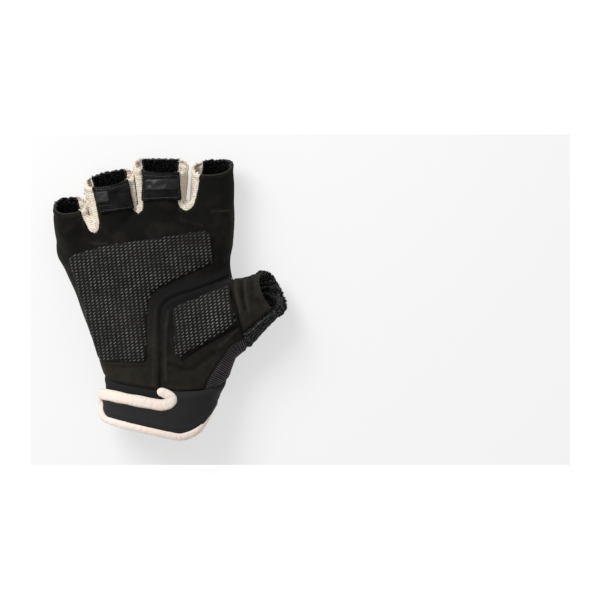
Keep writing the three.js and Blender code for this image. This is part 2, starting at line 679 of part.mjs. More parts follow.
place("palm_main", palm.subtract(thenarRegion(GAP)), suede);
place("palm_thenar", palm.intersect(thenarRegion(0)), suede);
place("hand_back", hand.subtract(palmRegion(GAP)), knit);
place("thumb_front", thumb.intersect(thumbFrontHalf(0)), suede);
place("thumb_back", thumb.subtract(thumbFrontHalf(GAP)), terry);
Object.keys(CLEFTS).forEach((name, i) => place(`fourchette_${name}`, strips[i], cream));
place("pad_palm", pad(PAD_PALM), grip);
place("pad_thenar", pad(PAD_THENAR), grip);
place("pull_tab_middle", tab(TAB_MIDDLE), webbing);
place("pull_tab_ring", tab(TAB_RING), webbing);
place("tab_patch_middle", patch(PATCH_MIDDLE), rubber);
place("tab_patch_ring", patch(PATCH_RING), rubber);
place("cuff_band", band, stretchCloth);
place("closure_strap", strap, stretchCloth);
place("strap_binding", strapTape(0), cream);
place("cuff_binding", bandTape(0), cream);

export default glove;
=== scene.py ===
"""A short-finger cycling glove, palm up, dressed in its cloth: suede, knit, terry, cream tape and grips.

The forms are lofted in millimetres through tables of sections, joined, cut along their seams into
panels, and each panel gets its tucked edges, folds, wall and finish. Meshes are turned to metres as
they are placed.
"""

import logging
import math
import random
from collections.abc import Callable, Sequence
from dataclasses import dataclass, field
from enum import Enum

import bmesh
import bpy
import numpy as np
from mathutils import Matrix, Vector, kdtree, noise
from mathutils.bvhtree import BVHTree


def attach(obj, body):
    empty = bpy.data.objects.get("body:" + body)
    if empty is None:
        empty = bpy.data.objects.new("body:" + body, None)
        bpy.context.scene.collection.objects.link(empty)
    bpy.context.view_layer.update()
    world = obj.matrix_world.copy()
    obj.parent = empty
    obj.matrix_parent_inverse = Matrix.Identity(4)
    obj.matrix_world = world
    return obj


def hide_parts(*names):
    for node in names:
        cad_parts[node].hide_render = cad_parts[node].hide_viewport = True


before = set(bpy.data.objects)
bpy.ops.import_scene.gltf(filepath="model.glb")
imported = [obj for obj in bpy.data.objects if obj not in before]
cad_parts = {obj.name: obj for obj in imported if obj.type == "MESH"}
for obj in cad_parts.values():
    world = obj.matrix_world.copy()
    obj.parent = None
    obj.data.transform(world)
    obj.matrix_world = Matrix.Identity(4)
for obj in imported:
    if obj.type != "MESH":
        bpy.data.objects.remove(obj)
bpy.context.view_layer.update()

LOG = logging.getLogger("glove")
MM = 0.001
SEED = 20
THUMB_END = 28.0
FAR = 99.0

BMesh = bmesh.types.BMesh
Material = bpy.types.Material
Measure = Callable[[np.ndarray], np.ndarray]
Colour = tuple[float, float, float]
Corners = tuple[tuple[float, float, float], ...]


# Tables and lines


@dataclass(frozen=True)
class Row:
    """One section of a form: its station, centre, half width, two faces' heights, squareness and turn.

    Sizes are in millimetres and the turn is in degrees.
    """

    s: float
    x: float
    half: float
    base: float
    top: float
    square: float = 2.2
    yaw: float = 0.0
    y: float = 0.0


@dataclass(frozen=True)
class Stop:
    """One place along a line that a single value follows."""

    s: float
    v: float


class Table:
    """Rows joined by smooth curves, read at any station."""

    def __init__(self, *rows: Row | Stop) -> None:
        """Keeps the rows' columns as arrays."""
        self.stations = np.array([row.s for row in rows])
        self.columns = {name: np.array([getattr(row, name) for row in rows]) for name in rows[0].__dict__}

    def at(self, name: str, s: np.ndarray) -> np.ndarray:
        """Reads one column.

        Args:
            name: the column.
            s: the stations, of any shape.

        Returns:
            The column's values there.
        """
        stations, values = self.stations, self.columns[name]
        slopes = np.empty_like(values)
        slopes[1:-1] = (values[2:] - values[:-2]) / (stations[2:] - stations[:-2])
        slopes[0] = (values[1] - values[0]) / (stations[1] - stations[0])
        slopes[-1] = (values[-1] - values[-2]) / (stations[-1] - stations[-2])
        i = np.clip(np.searchsorted(stations, s) - 1, 0, len(stations) - 2)
        span = stations[i + 1] - stations[i]
        t = np.clip((s - stations[i]) / span, 0.0, 1.0)
        return (
            (2 * t**3 - 3 * t**2 + 1) * values[i]
            + (t**3 - 2 * t**2 + t) * span * slopes[i]
            + (3 * t**2 - 2 * t**3) * values[i + 1]
            + (t**3 - t**2) * span * slopes[i + 1]
        )

    def section(self, s: np.ndarray) -> dict[str, np.ndarray]:
        """Every column at once."""
        return {name: self.at(name, s) for name in self.columns}


def stops(*pairs: tuple[float, float]) -> Table:
    """A table of one value, from pairs of a station and the value there."""
    return Table(*(Stop(s, v) for s, v in pairs))


def lengths_of(line: np.ndarray) -> np.ndarray:
    """The length along a line to each of its points."""
    return np.concatenate([[0], np.cumsum(np.linalg.norm(np.diff(line, axis=0), axis=1))])


def unit(ways: np.ndarray) -> np.ndarray:
    """Vectors made 1 long."""
    return ways / np.linalg.norm(ways, axis=1)[:, None]


def spline(points: Sequence[Sequence[float]], count: int) -> np.ndarray:
    """A smooth line through points.

    Args:
        points: the points, of any dimension.
        count: how many points the line gets.

    Returns:
        The line's points, evenly spaced along it.
    """
    knots = np.asarray(points, float)
    spans = len(knots) - 1
    t = np.linspace(0, spans, max(count, 16 * spans))
    i = np.clip(t.astype(int), 0, spans - 1)
    f = (t - i)[:, None]
    a, b, c, d = (knots[np.clip(i + step, 0, spans)] for step in (-1, 0, 1, 2))
    line = b + 0.5 * f * (c - a + f * (2 * a - 5 * b + 4 * c - d + f * (3 * (b - c) + d - a)))
    lengths = lengths_of(line)
    even = np.linspace(0, lengths[-1], count)
    return np.stack([np.interp(even, lengths, line[:, k]) for k in range(line.shape[1])], axis=1)


class Line:
    """A line in the plane, seen from above, that places are measured from."""

    batch = 20000
    margin = 3.0

    def __init__(self, points: np.ndarray, closed: bool = False) -> None:
        """Keeps the line.

        Args:
            points: its points, close enough together to look smooth.
            closed: whether it comes back to its start.
        """
        self.closed = closed
        self.points = np.vstack([points, points[:1]]) if closed else points
        self.lengths = lengths_of(self.points)

    def measure(self, places: np.ndarray) -> tuple[np.ndarray, np.ndarray]:
        """How far places are to the left of the line, and how far along it.

        Args:
            places: points whose first two columns are x and y.

        Returns:
            The signed distance of each and the length along the line to its nearest point.
        """
        starts, ways = self.points[:-1], np.diff(self.points, axis=0)
        squares = (ways**2).sum(1)
        away, along = np.empty(len(places)), np.empty(len(places))
        for first in range(0, len(places), self.batch):
            part = slice(first, first + self.batch)
            gap = places[part, None, :2] - starts[None]
            t = np.clip((gap * ways).sum(2) / squares, 0, 1)
            rest = gap - t[..., None] * ways
            far = (rest**2).sum(2)
            nearest = far.argmin(1)
            row = np.arange(len(nearest))
            left = ways[nearest, 0] * gap[row, nearest, 1] - ways[nearest, 1] * gap[row, nearest, 0]
            away[part] = np.sqrt(far[row, nearest]) * np.where(left >= 0, 1, -1)
            along[part] = self.lengths[nearest] + t[row, nearest] * np.sqrt(squares[nearest])
        return away, along

    def left(self, places: np.ndarray) -> np.ndarray:
        """How far places are to the left of the line, roughly where they are far outside a closed one."""
        if not self.closed:
            return self.measure(places)[0]
        low, high = self.points.min(0) - self.margin, self.points.max(0) + self.margin
        near = ((places[:, :2] > low) & (places[:, :2] < high)).all(1)
        away = np.full(len(places), -self.margin)
        away[near] = self.measure(places[near])[0]
        return away


def curve(points: Sequence[tuple[float, float]], count: int) -> Line:
    """A smooth line through points, seen from above."""
    return Line(spline(points, count))


def anticlockwise(outline: np.ndarray) -> np.ndarray:
    """An outline's points in the order that has its inside to the left."""
    after = np.roll(outline, -1, axis=0)
    area = (outline[:, 0] * after[:, 1] - after[:, 0] * outline[:, 1]).sum()
    return outline if area > 0 else outline[::-1]


def rounded(corners: Corners) -> np.ndarray:
    """A polygon with round corners.

    Args:
        corners: x, y and radius of each corner.

    Returns:
        The outline's points.
    """
    points = np.array([corner[:2] for corner in corners])
    ways = unit(np.roll(points, -1, axis=0) - points)
    outline = []
    for i, (point, way) in enumerate(zip(points, ways)):
        before = ways[i - 1]
        turn = math.acos(max(-1.0, min(1.0, float(before @ way))))
        reach = corners[i][2] * math.tan(turn / 2)
        enter, leave = point - before * reach, point + way * reach
        for t in np.linspace(0, 1, 7):
            outline.append((1 - t) ** 2 * enter + 2 * t * (1 - t) * point + t**2 * leave)
    return anticlockwise(np.array(outline))


def smooth_step(values: np.ndarray) -> np.ndarray:
    """Values from 0 to 1 with a soft start and end."""
    t = np.clip(values, 0, 1)
    return t * t * (3 - 2 * t)


def bell(values: np.ndarray, width: float) -> np.ndarray:
    """A smooth hump of height 1 at zero."""
    return np.exp(-((values / width) ** 2))


# Meshes


def new_object(name: str, mesh: bpy.types.Mesh) -> bpy.types.Object:
    """An object in the scene."""
    made = bpy.data.objects.new(name, mesh)
    bpy.context.scene.collection.objects.link(made)
    return made


def to_object(name: str, bm: BMesh) -> bpy.types.Object:
    """An object from a bmesh, which is freed."""
    mesh = bpy.data.meshes.new(name)
    bm.to_mesh(mesh)
    bm.free()
    return new_object(name, mesh)


def modified(obj: bpy.types.Object, *modifiers: tuple[str, dict[str, object]]) -> bpy.types.Object:
    """Puts modifiers on an object and makes their result its mesh.

    Args:
        obj: the object.
        modifiers: the type and the settings of each.

    Returns:
        The object.
    """
    for kind, settings in modifiers:
        modifier = obj.modifiers.new(kind.lower(), kind)
        for name, value in settings.items():
            setattr(modifier, name, value)
    seen = obj.evaluated_get(bpy.context.evaluated_depsgraph_get())
    mesh = bpy.data.meshes.new_from_object(seen)
    obj.modifiers.clear()
    old, obj.data = obj.data, mesh
    bpy.data.meshes.remove(old)
    return obj


def discard(obj: bpy.types.Object) -> None:
    """Removes a helper and its mesh."""
    mesh = obj.data
    bpy.data.objects.remove(obj)
    bpy.data.meshes.remove(mesh)


def places_of(mesh: bpy.types.Mesh) -> np.ndarray:
    """A mesh's points as an array."""
    flat = np.empty(len(mesh.vertices) * 3, np.float32)
    mesh.vertices.foreach_get("co", flat)
    return flat.reshape(-1, 3).astype(float)


def normals_of(mesh: bpy.types.Mesh) -> np.ndarray:
    """The way out at each of a mesh's points."""
    flat = np.empty(len(mesh.vertices) * 3, np.float32)
    mesh.vertex_normals.foreach_get("vector", flat)
    return flat.reshape(-1, 3).astype(float)


def put_places(mesh: bpy.types.Mesh, places: np.ndarray) -> None:
    """Moves a mesh's points."""
    mesh.vertices.foreach_set("co", places.astype(np.float32).ravel())
    mesh.update()


def remember(mesh: bpy.types.Mesh, name: str, values: np.ndarray) -> None:
    """Keeps a number for each point, for a finish to read."""
    layer = mesh.attributes.get(name) or mesh.attributes.new(name, "FLOAT", "POINT")
    layer.data.foreach_set("value", values.astype(np.float32))


def sheet_mesh(
    bm: BMesh, across: int, along: int, place: Callable[[np.ndarray, np.ndarray], np.ndarray],
    closed: bool = False
) -> None:
    """Lays a grid over a surface that a function gives.

    Args:
        bm: the mesh that the grid goes into.
        across: its faces one way.
        along: its faces the other way.
        place: from two arrays, each from 0 to 1, to points.
        closed: whether its two sides meet, and its ends are filled.
    """
    made = bmesh.ops.create_grid(bm, x_segments=across, y_segments=along, size=1.0)["verts"]
    grid = np.array([vert.co for vert in made])
    points = place((grid[:, 0] + 1) / 2, (grid[:, 1] + 1) / 2)
    for vert, point in zip(made, points):
        vert.co = point
    if closed:
        bmesh.ops.remove_doubles(bm, verts=made, dist=1e-4)
        made = [vert for vert in made if vert.is_valid]
        edges = {edge for vert in made for edge in vert.link_edges if edge.is_boundary}
        bmesh.ops.holes_fill(bm, edges=list(edges))
        faces = list({face for vert in made for face in vert.link_faces})
        bmesh.ops.recalc_face_normals(bm, faces=faces)


def prism(name: str, outline: np.ndarray, low: float, high: float) -> bpy.types.Object:
    """A solid that stands on an outline.

    Args:
        name: its name.
        outline: its points seen from above.
        low: the height that it starts at.
        high: the height that it ends at.

    Returns:
        The solid as an object.
    """
    bm = bmesh.new()
    verts = [bm.verts.new((x, y, low)) for x, y in outline]
    base = bm.faces.new(verts)
    raised = bmesh.ops.extrude_face_region(bm, geom=[base])["geom"]
    tops = [part for part in raised if isinstance(part, bmesh.types.BMVert)]
    bmesh.ops.translate(bm, verts=tops, vec=(0, 0, high - low))
    bmesh.ops.recalc_face_normals(bm, faces=bm.faces[:])
    return to_object(name, bm)


def combine(first: bpy.types.Object, others: Sequence[bpy.types.Object], way: str) -> None:
    """Joins solids to the first or cuts them off it, and removes them."""
    for other in others:
        modified(first, ("BOOLEAN", {"operation": way, "solver": "MANIFOLD", "object": other}))
        discard(other)


def score(bm: BMesh, measure: Measure) -> None:
    """Cuts new edges where a measure is zero, so that panels can part there.

    Args:
        bm: the mesh.
        measure: from places to numbers.
    """
    bm.verts.index_update()
    values = measure(np.array([vert.co for vert in bm.verts]))
    crossed = {
        face
        for edge in bm.edges
        if (values[edge.verts[0].index] > 0) != (values[edge.verts[1].index] > 0)
        for face in edge.link_faces
    }
    if not crossed:
        return
    layer = bm.verts.layers.float_vector.get("place") or bm.verts.layers.float_vector.new("place")
    edges = {edge for face in crossed for edge in face.edges}
    verts = {vert for face in crossed for vert in face.verts}
    for vert in verts:
        vert[layer] = vert.co
        vert.co.x = values[vert.index]
    cut = bmesh.ops.bisect_plane(
        bm, geom=[*crossed, *edges, *verts], dist=0.04, plane_co=(0, 0, 0), plane_no=(1, 0, 0)
    )["geom_cut"]
    fresh = {part for part in cut if isinstance(part, bmesh.types.BMVert)}
    for vert in verts | fresh:
        vert.co = vert[layer]


def centres(bm: BMesh) -> np.ndarray:
    """The middle of each face."""
    return np.array([face.calc_center_median() for face in bm.faces])


def keep_faces(bm: BMesh, kept: np.ndarray) -> None:
    """Deletes the faces whose mark isn't set."""
    gone = [face for face, stays in zip(bm.faces, kept) if not stays]
    bmesh.ops.delete(bm, geom=gone, context="FACES")


def biggest_island(bm: BMesh) -> None:
    """Deletes the crumbs beside the largest connected part."""
    left = set(bm.faces)
    islands = []
    while left:
        island, edge = set(), [left.pop()]
        while edge:
            face = edge.pop()
            island.add(face)
            for side in face.edges:
                for other in side.link_faces:
                    if other in left:
                        left.remove(other)
                        edge.append(other)
        islands.append(island)
    islands.sort(key=len)
    gone = [face for island in islands[:-1] for face in island]
    bmesh.ops.delete(bm, geom=gone, context="FACES")


def ruffle(places: np.ndarray, size: float, height: float, seed: float) -> np.ndarray:
    """Soft unevenness."""
    shift = Vector((seed, seed * 0.7, -seed))
    return np.array([height * noise.noise(Vector(place) / size + shift) for place in places])


# The form


class Limb(Enum):
    """The parts of the hand that a finger's stall covers."""

    INDEX = "index"
    MIDDLE = "middle"
    RING = "ring"
    LITTLE = "little"


@dataclass(frozen=True)
class Stall:
    """A finger's stall: its sections, and where its slanted rim crosses its palm and back faces."""

    palm: float
    back: float
    rows: tuple[Row, ...]
    slope: float = 0.0


@dataclass(frozen=True)
class Cleft:
    """The gap between two fingers, and the cream strip that lines it."""

    root: tuple[float, float]
    far: tuple[float, float]
    share: float
    reach: float

    def axes(self) -> tuple[np.ndarray, np.ndarray, np.ndarray]:
        """The root, the way out along the gap and the way to its right."""
        root, far = np.array(self.root), np.array(self.far)
        way = (far - root) / np.linalg.norm(far - root)
        return root, way, np.array([way[1], -way[0]])

    def blade(self, half: float) -> np.ndarray:
        """The outline of the gap itself, seen from above.

        Args:
            half: half its width at the root.

        Returns:
            The outline's points.
        """
        root, way, side = self.axes()
        far, centre = root + 45 * way, root + half * way
        turns = np.linspace(math.pi, 2 * math.pi, 9)
        arc = [centre + half * (math.cos(turn) * side + math.sin(turn) * way) for turn in turns]
        return np.array([far - half * side, *arc, far + half * side])

    def strip(self, grow: float) -> np.ndarray:
        """The outline of the strip's V, seen from above.

        Args:
            grow: how much wider than the V it is.

        Returns:
            The outline's points, anticlockwise from its right end.
        """
        root, way, side = self.axes()
        tip = root - (self.reach + grow) * way
        halves = stops((0, 0.9), (0.7, 2.1), (2.2, 3.0), (6, 3.7), (12, 4.4), (24, 5.2), (48, 6.0))
        s = np.concatenate([np.linspace(0, 3, 10), np.linspace(4, 46, 30)])
        half = halves.at("v", s) * self.share + grow
        right = tip + s[:, None] * way + half[:, None] * side
        left = tip + s[:, None] * way - half[:, None] * side
        return anticlockwise(np.vstack([right[::-1], tip[None] - 0.35 * way, left]))


@dataclass
class Form:
    """The glove's outer form, as a hand inside gives it, and the seams that part it."""

    voxel: float = 0.6
    seam_share: float = 0.45
    thumb_mouth: tuple[float, float, float] = (52.0, 3.6, 28.0)
    mouth_yaw: float = 27.0
    mouth_lean: float = 27.5
    thumb_middle: tuple[float, float, float] = (57.8, 4.2, 17.4)
    thumb_turn: float = 20.0
    front_rise: float = 6.0
    body: Table = Table(
        Row(-84, -2.4, 27.0, 3.6, 36.0, 2.15), Row(-66, -2.2, 28.0, 2.8, 35.8, 2.15),
        Row(-53, -1.4, 29.6, 1.8, 35.3, 2.15), Row(-46, 0.0, 31.2, 0.6, 34.6, 2.2),
        Row(-40, 0.9, 33.2, -0.5, 33.9, 2.25), Row(-34, 1.1, 35.2, -0.9, 33.0, 2.3),
        Row(-25, 1.0, 37.9, -0.9, 31.8, 2.35), Row(-16, -0.4, 40.0, -0.9, 30.6, 2.4),
        Row(-5, -2.9, 41.6, -0.9, 29.4, 2.4), Row(7, -6.2, 42.8, -0.9, 28.4, 2.4),
        Row(17, -9.4, 43.9, -0.9, 27.8, 2.4, 1), Row(26, -10.9, 46.1, -0.9, 27.2, 2.4, 4),
        Row(34, -10.8, 47.4, -0.7, 26.4, 2.4, 7), Row(40, -11.0, 47.2, 0.2, 24.8, 2.4, 9),
        Row(45, -11.0, 46.0, 2.5, 22.0, 2.4, 9), Row(49, -11.0, 44.0, 6.0, 18.0, 2.4, 9)
    )
    stalls: dict[Limb, Stall] = field(
        default_factory=lambda: {
            Limb.INDEX: Stall(
                66.2, 75.2,
                (
                    Row(10, 18.0, 11.5, 2.0, 25.0), Row(24, 22.4, 12.2, 0.0, 25.8),
                    Row(36, 24.1, 12.2, -0.3, 25.4), Row(48, 24.5, 12.1, 1.2, 24.5),
                    Row(60, 24.9, 11.6, 3.8, 24.0), Row(70, 25.3, 10.8, 6.8, 24.0),
                    Row(82, 25.8, 10.4, 10.5, 25.0)
                ),
                0.08
            ),
            Limb.MIDDLE: Stall(
                67.0, 75.8,
                (
                    Row(16, -1.5, 12.6, 0.2, 26.5), Row(36, -1.3, 12.6, -0.6, 26.0),
                    Row(50, -1.3, 12.7, 1.0, 25.0), Row(60, -1.5, 13.4, 3.6, 24.6),
                    Row(72, -1.8, 14.0, 7.2, 24.8), Row(84, -2.0, 13.9, 11.0, 26.0)
                ),
                -0.04
            ),
            Limb.RING: Stall(
                60.2, 69.0,
                (
                    Row(10, -25.0, 12.0, 0.2, 26.0), Row(30, -25.8, 12.2, -0.6, 25.5),
                    Row(45, -26.8, 12.6, 0.9, 24.5), Row(56, -28.9, 13.2, 3.6, 24.0),
                    Row(66, -29.6, 12.3, 6.5, 24.2), Row(78, -30.4, 11.8, 10.0, 25.0)
                ),
                0.2
            ),
            Limb.LITTLE: Stall(
                45.8, 55.2,
                (
                    Row(12, -38.5, 8.5, 4.0, 21.0), Row(26, -45.2, 10.9, 0.8, 23.2),
                    Row(36, -48.2, 10.6, 0.9, 22.5), Row(46, -50.3, 9.4, 3.0, 21.5),
                    Row(54, -51.1, 8.3, 5.3, 21.3), Row(66, -52.6, 8.0, 9.0, 22.0)
                ),
                0.08
            )
        }
    )
    thumb: Table = Table(
        Row(0, 14.0, 24.0, 0.5, 30.5, 2.15, 14, -20.0), Row(1, 28.0, 21.8, 1.5, 32.2, 2.15, 14, -12.5),
        Row(2, 40.2, 18.3, 3.6, 31.0, 2.15, 15, -6.9), Row(3, 48.6, 14.5, 6.0, 29.6, 2.15, 19, -1.7),
        Row(4, 57.4, 12.4, 8.5, 28.4, 2.15, 23, 4.2), Row(5, 66.0, 12.2, 10.5, 28.0, 2.15, 24, 8.4)
    )
    clefts: dict[str, Cleft] = field(
        default_factory=lambda: {
            "index_middle": Cleft((11.5, 53.0), (13.3, 72.0), 1.15, 5.2),
            "middle_ring": Cleft((-14.3, 50.2), (-16.4, 67.8), 0.74, 3.8),
            "ring_little": Cleft((-37.8, 39.4), (-43.0, 57.2), 0.92, 3.6)
        }
    )
    side_seam: Table = stops(
        (-90, 18.4), (-53, 16.8), (-40, 15.0), (0, 13.0), (34, 11.8), (48, 12.0), (60, 13.4), (72, 15.4),
        (90, 19.0)
    )
    cuff_top: Table = stops(
        (-90, -21.6), (-68, -22.3), (-47, -25.0), (-24, -32.2), (-11, -38.0), (0, -42.2), (20, -46.0),
        (45, -48.2), (90, -47.6), (135, -45.2), (160, -43.0), (180, -39.8), (191, -36.0), (204, -30.2),
        (227, -24.4), (248, -22.3), (270, -21.6)
    )
    mouth: Table = stops(
        (-90, -52.0), (-45, -51.6), (0, -54.8), (20, -61.2), (35, -67.2), (50, -70.4), (70, -70.0),
        (100, -67.8), (138, -64.6), (180, -60.2), (225, -54.6), (270, -52.0)
    )
    thenar_seam: Line = curve(
        [
            (-1.8, -64), (-1.8, -30), (-1.8, -9), (-0.6, -3), (3, 0.6), (11, 3.6), (21, 6.9), (30, 10.4),
            (38, 14.6), (46, 20)
        ],
        40
    )
    thumb_seam: Line = curve(
        [
            (38.8, 60), (38.7, 40), (38.4, 24), (36.4, 13.6), (35.3, 9), (36.2, 3), (38.4, -4), (40.6, -13),
            (42.4, -20), (44.4, -27), (47, -42)
        ],
        40
    )
    knit_seam: Line = curve(
                [
                    (64, -14), (52, -18), (42, -21), (35.6, -24), (30.4, -31.2), (25.6, -38.4), (22, -46.6),
                    (19, -60)
                ],
                32
        )

    def seam_of(self, section: dict[str, np.ndarray]) -> np.ndarray:
        """The height at which sections are widest."""
        return section["base"] + self.seam_share * (section["top"] - section["base"])

    def section_points(self, section: dict[str, np.ndarray], turn: np.ndarray, offset: float) -> np.ndarray:
        """Points round sections.

        Args:
            section: a section's columns for each point.
            turn: the angle round it, in radians.
            offset: how far out of the face.

        Returns:
            The points.
        """
        c, s = np.cos(turn), np.sin(turn)
        power = 2 / section["square"]
        seam = self.seam_of(section)
        height = np.where(s > 0, section["top"] - seam, seam - section["base"]) + offset
        across = (section["half"] + offset) * np.sign(c) * np.abs(c) ** power
        up = height * np.sign(s) * np.abs(s) ** power
        yaw = np.radians(section["yaw"])
        return np.stack(
            [section["x"] + across * np.cos(yaw), section["y"] + across * np.sin(yaw), seam + up], axis=1
        )

    def limb_solid(
        self, name: str, table: Table, sides: int, count: int, aslant: bool = False
    ) -> bpy.types.Object:
        """A closed loft through a table of sections.

        Args:
            name: its name.
            table: its sections.
            sides: its faces round a section.
            count: its faces along.
            aslant: whether its sections stand at places and turns of their own, as the thumb's do.

        Returns:
            The solid.
        """
        first, last = table.stations[0], table.stations[-1]

        def place(u: np.ndarray, t: np.ndarray) -> np.ndarray:
            """Points of the loft's surface."""
            s = first + (last - first) * t
            section = table.section(s)
            if aslant:
                section["yaw"] = section["yaw"] + 90
            else:
                section["y"] = s
            return self.section_points(section, 2 * np.pi * (u % 1.0), 0.0)

        bm = bmesh.new()
        sheet_mesh(bm, sides, count, place, closed=True)
        return to_object(name, bm)

    def solid(self) -> bpy.types.Object:
        """The whole hand as one solid, with no gaps between its fingers yet."""
        whole = self.limb_solid("hand_form", self.body, 96, 110)
        limbs = [self.limb_solid("thumb_form", self.thumb, 64, 50, aslant=True)]
        for limb, stall in self.stalls.items():
            limbs.append(self.limb_solid(limb.value + "_form", Table(*stall.rows), 64, 50))
        combine(whole, limbs, "UNION")
        return whole

    def past_rims(self, places: np.ndarray) -> np.ndarray:
        """How far places are past the fingers' rims, or before them where it is negative."""
        x, y, z = places.T
        lines = []
        for cleft in self.clefts.values():
            root, far = cleft.root, cleft.far
            lines.append(root[0] + (far[0] - root[0]) * (y - root[1]) / (far[1] - root[1]))
        which = sum((x < line).astype(int) for line in lines)
        past = np.empty(len(places))
        for i, stall in enumerate(self.stalls.values()):
            table = Table(*stall.rows)
            low = table.at("base", np.array([stall.back]))[0]
            high = table.at("top", np.array([stall.palm]))[0]
            lean = (stall.palm - stall.back) / (high - low)
            slant = math.hypot(1, lean)
            aside = stall.slope * (x - table.at("x", np.array([stall.back]))[0])
            past = np.where(which == i, (y - stall.back - aside - lean * (z - low)) / slant, past)
        return past

    def past_thumb(self, places: np.ndarray) -> np.ndarray:
        """How far places are past the thumb's mouth."""
        yaw, lean = math.radians(self.mouth_yaw), math.radians(self.mouth_lean)
        normal = np.array([math.cos(lean) * math.cos(yaw), math.cos(lean) * math.sin(yaw), math.sin(lean)])
        past = (places - np.array(self.thumb_mouth)) @ normal
        return np.where((places[:, 0] > 40) & (places[:, 1] < 26), past, -30.0)

    def thumb_front(self, places: np.ndarray) -> np.ndarray:
        """How far places are on the suede side of the thumb."""
        turn = math.radians(self.thumb_turn)
        across = np.array([-math.sin(turn), math.cos(turn), 0.0])
        normal = math.cos(turn) * np.array([0, 0, 1.0]) + math.sin(turn) * across
        return (places - np.array(self.thumb_middle)) @ normal - self.front_rise

    def above_side_seam(self, places: np.ndarray) -> np.ndarray:
        """How far places are above the side seam."""
        return places[:, 2] - self.side_seam.at("v", places[:, 1])

    def angle(self, places: np.ndarray) -> np.ndarray:
        """The angle round the wrist, in degrees from -90 at the back over 0 at the thumb's side to 270."""
        section = self.body.section(places[:, 1])
        seam = self.seam_of(section)
        turn = np.degrees(np.arctan2(places[:, 2] - seam, places[:, 0] - section["x"]))
        return np.where(turn < -90, turn + 360, turn)

    def above_cuff(self, places: np.ndarray) -> np.ndarray:
        """How far places are from the cuff's top edge, towards the fingers."""
        return places[:, 1] - self.cuff_top.at("v", self.angle(places))

    def wrist(self, angle: np.ndarray, y: np.ndarray, offset: np.ndarray | float) -> np.ndarray:
        """Points of the wrist's face.

        Args:
            angle: the angle round it, in degrees.
            y: where along the arm.
            offset: how far out of the face.

        Returns:
            The points.
        """
        section = self.body.section(y)
        seam = self.seam_of(section)
        c, s = np.cos(np.radians(angle)), np.sin(np.radians(angle))
        height = np.where(s > 0, section["top"] - seam, seam - section["base"]) + offset
        square = section["square"]
        across = np.abs(c) / (section["half"] + offset)
        radius = (across**square + (np.abs(s) / height) ** square) ** (-1 / square)
        return np.stack([section["x"] + radius * c, y, seam + radius * s], axis=1)

    def angle_at(self, x: float, y: float) -> float:
        """The angle round the wrist of a place on its palm face, seen from above."""
        section = {name: float(value[0]) for name, value in self.body.section(np.array([y])).items()}
        seam = self.seam_of(section)
        share = min(1.0, abs(x - section["x"]) / section["half"])
        height = (section["top"] - seam) * (1 - share ** section["square"]) ** (1 / section["square"])
        return math.degrees(math.atan2(height, x - section["x"]))


class Panel(Enum):
    """The pieces of cloth that the seams part the form into."""

    PALM_MAIN = "palm_main"
    PALM_THENAR = "palm_thenar"
    HAND_BACK = "hand_back"
    THUMB_FRONT = "thumb_front"
    THUMB_BACK = "thumb_back"
    CUFF_BAND = "cuff_band"
    INDEX_MIDDLE = "fourchette_index_middle"
    MIDDLE_RING = "fourchette_middle_ring"
    RING_LITTLE = "fourchette_ring_little"


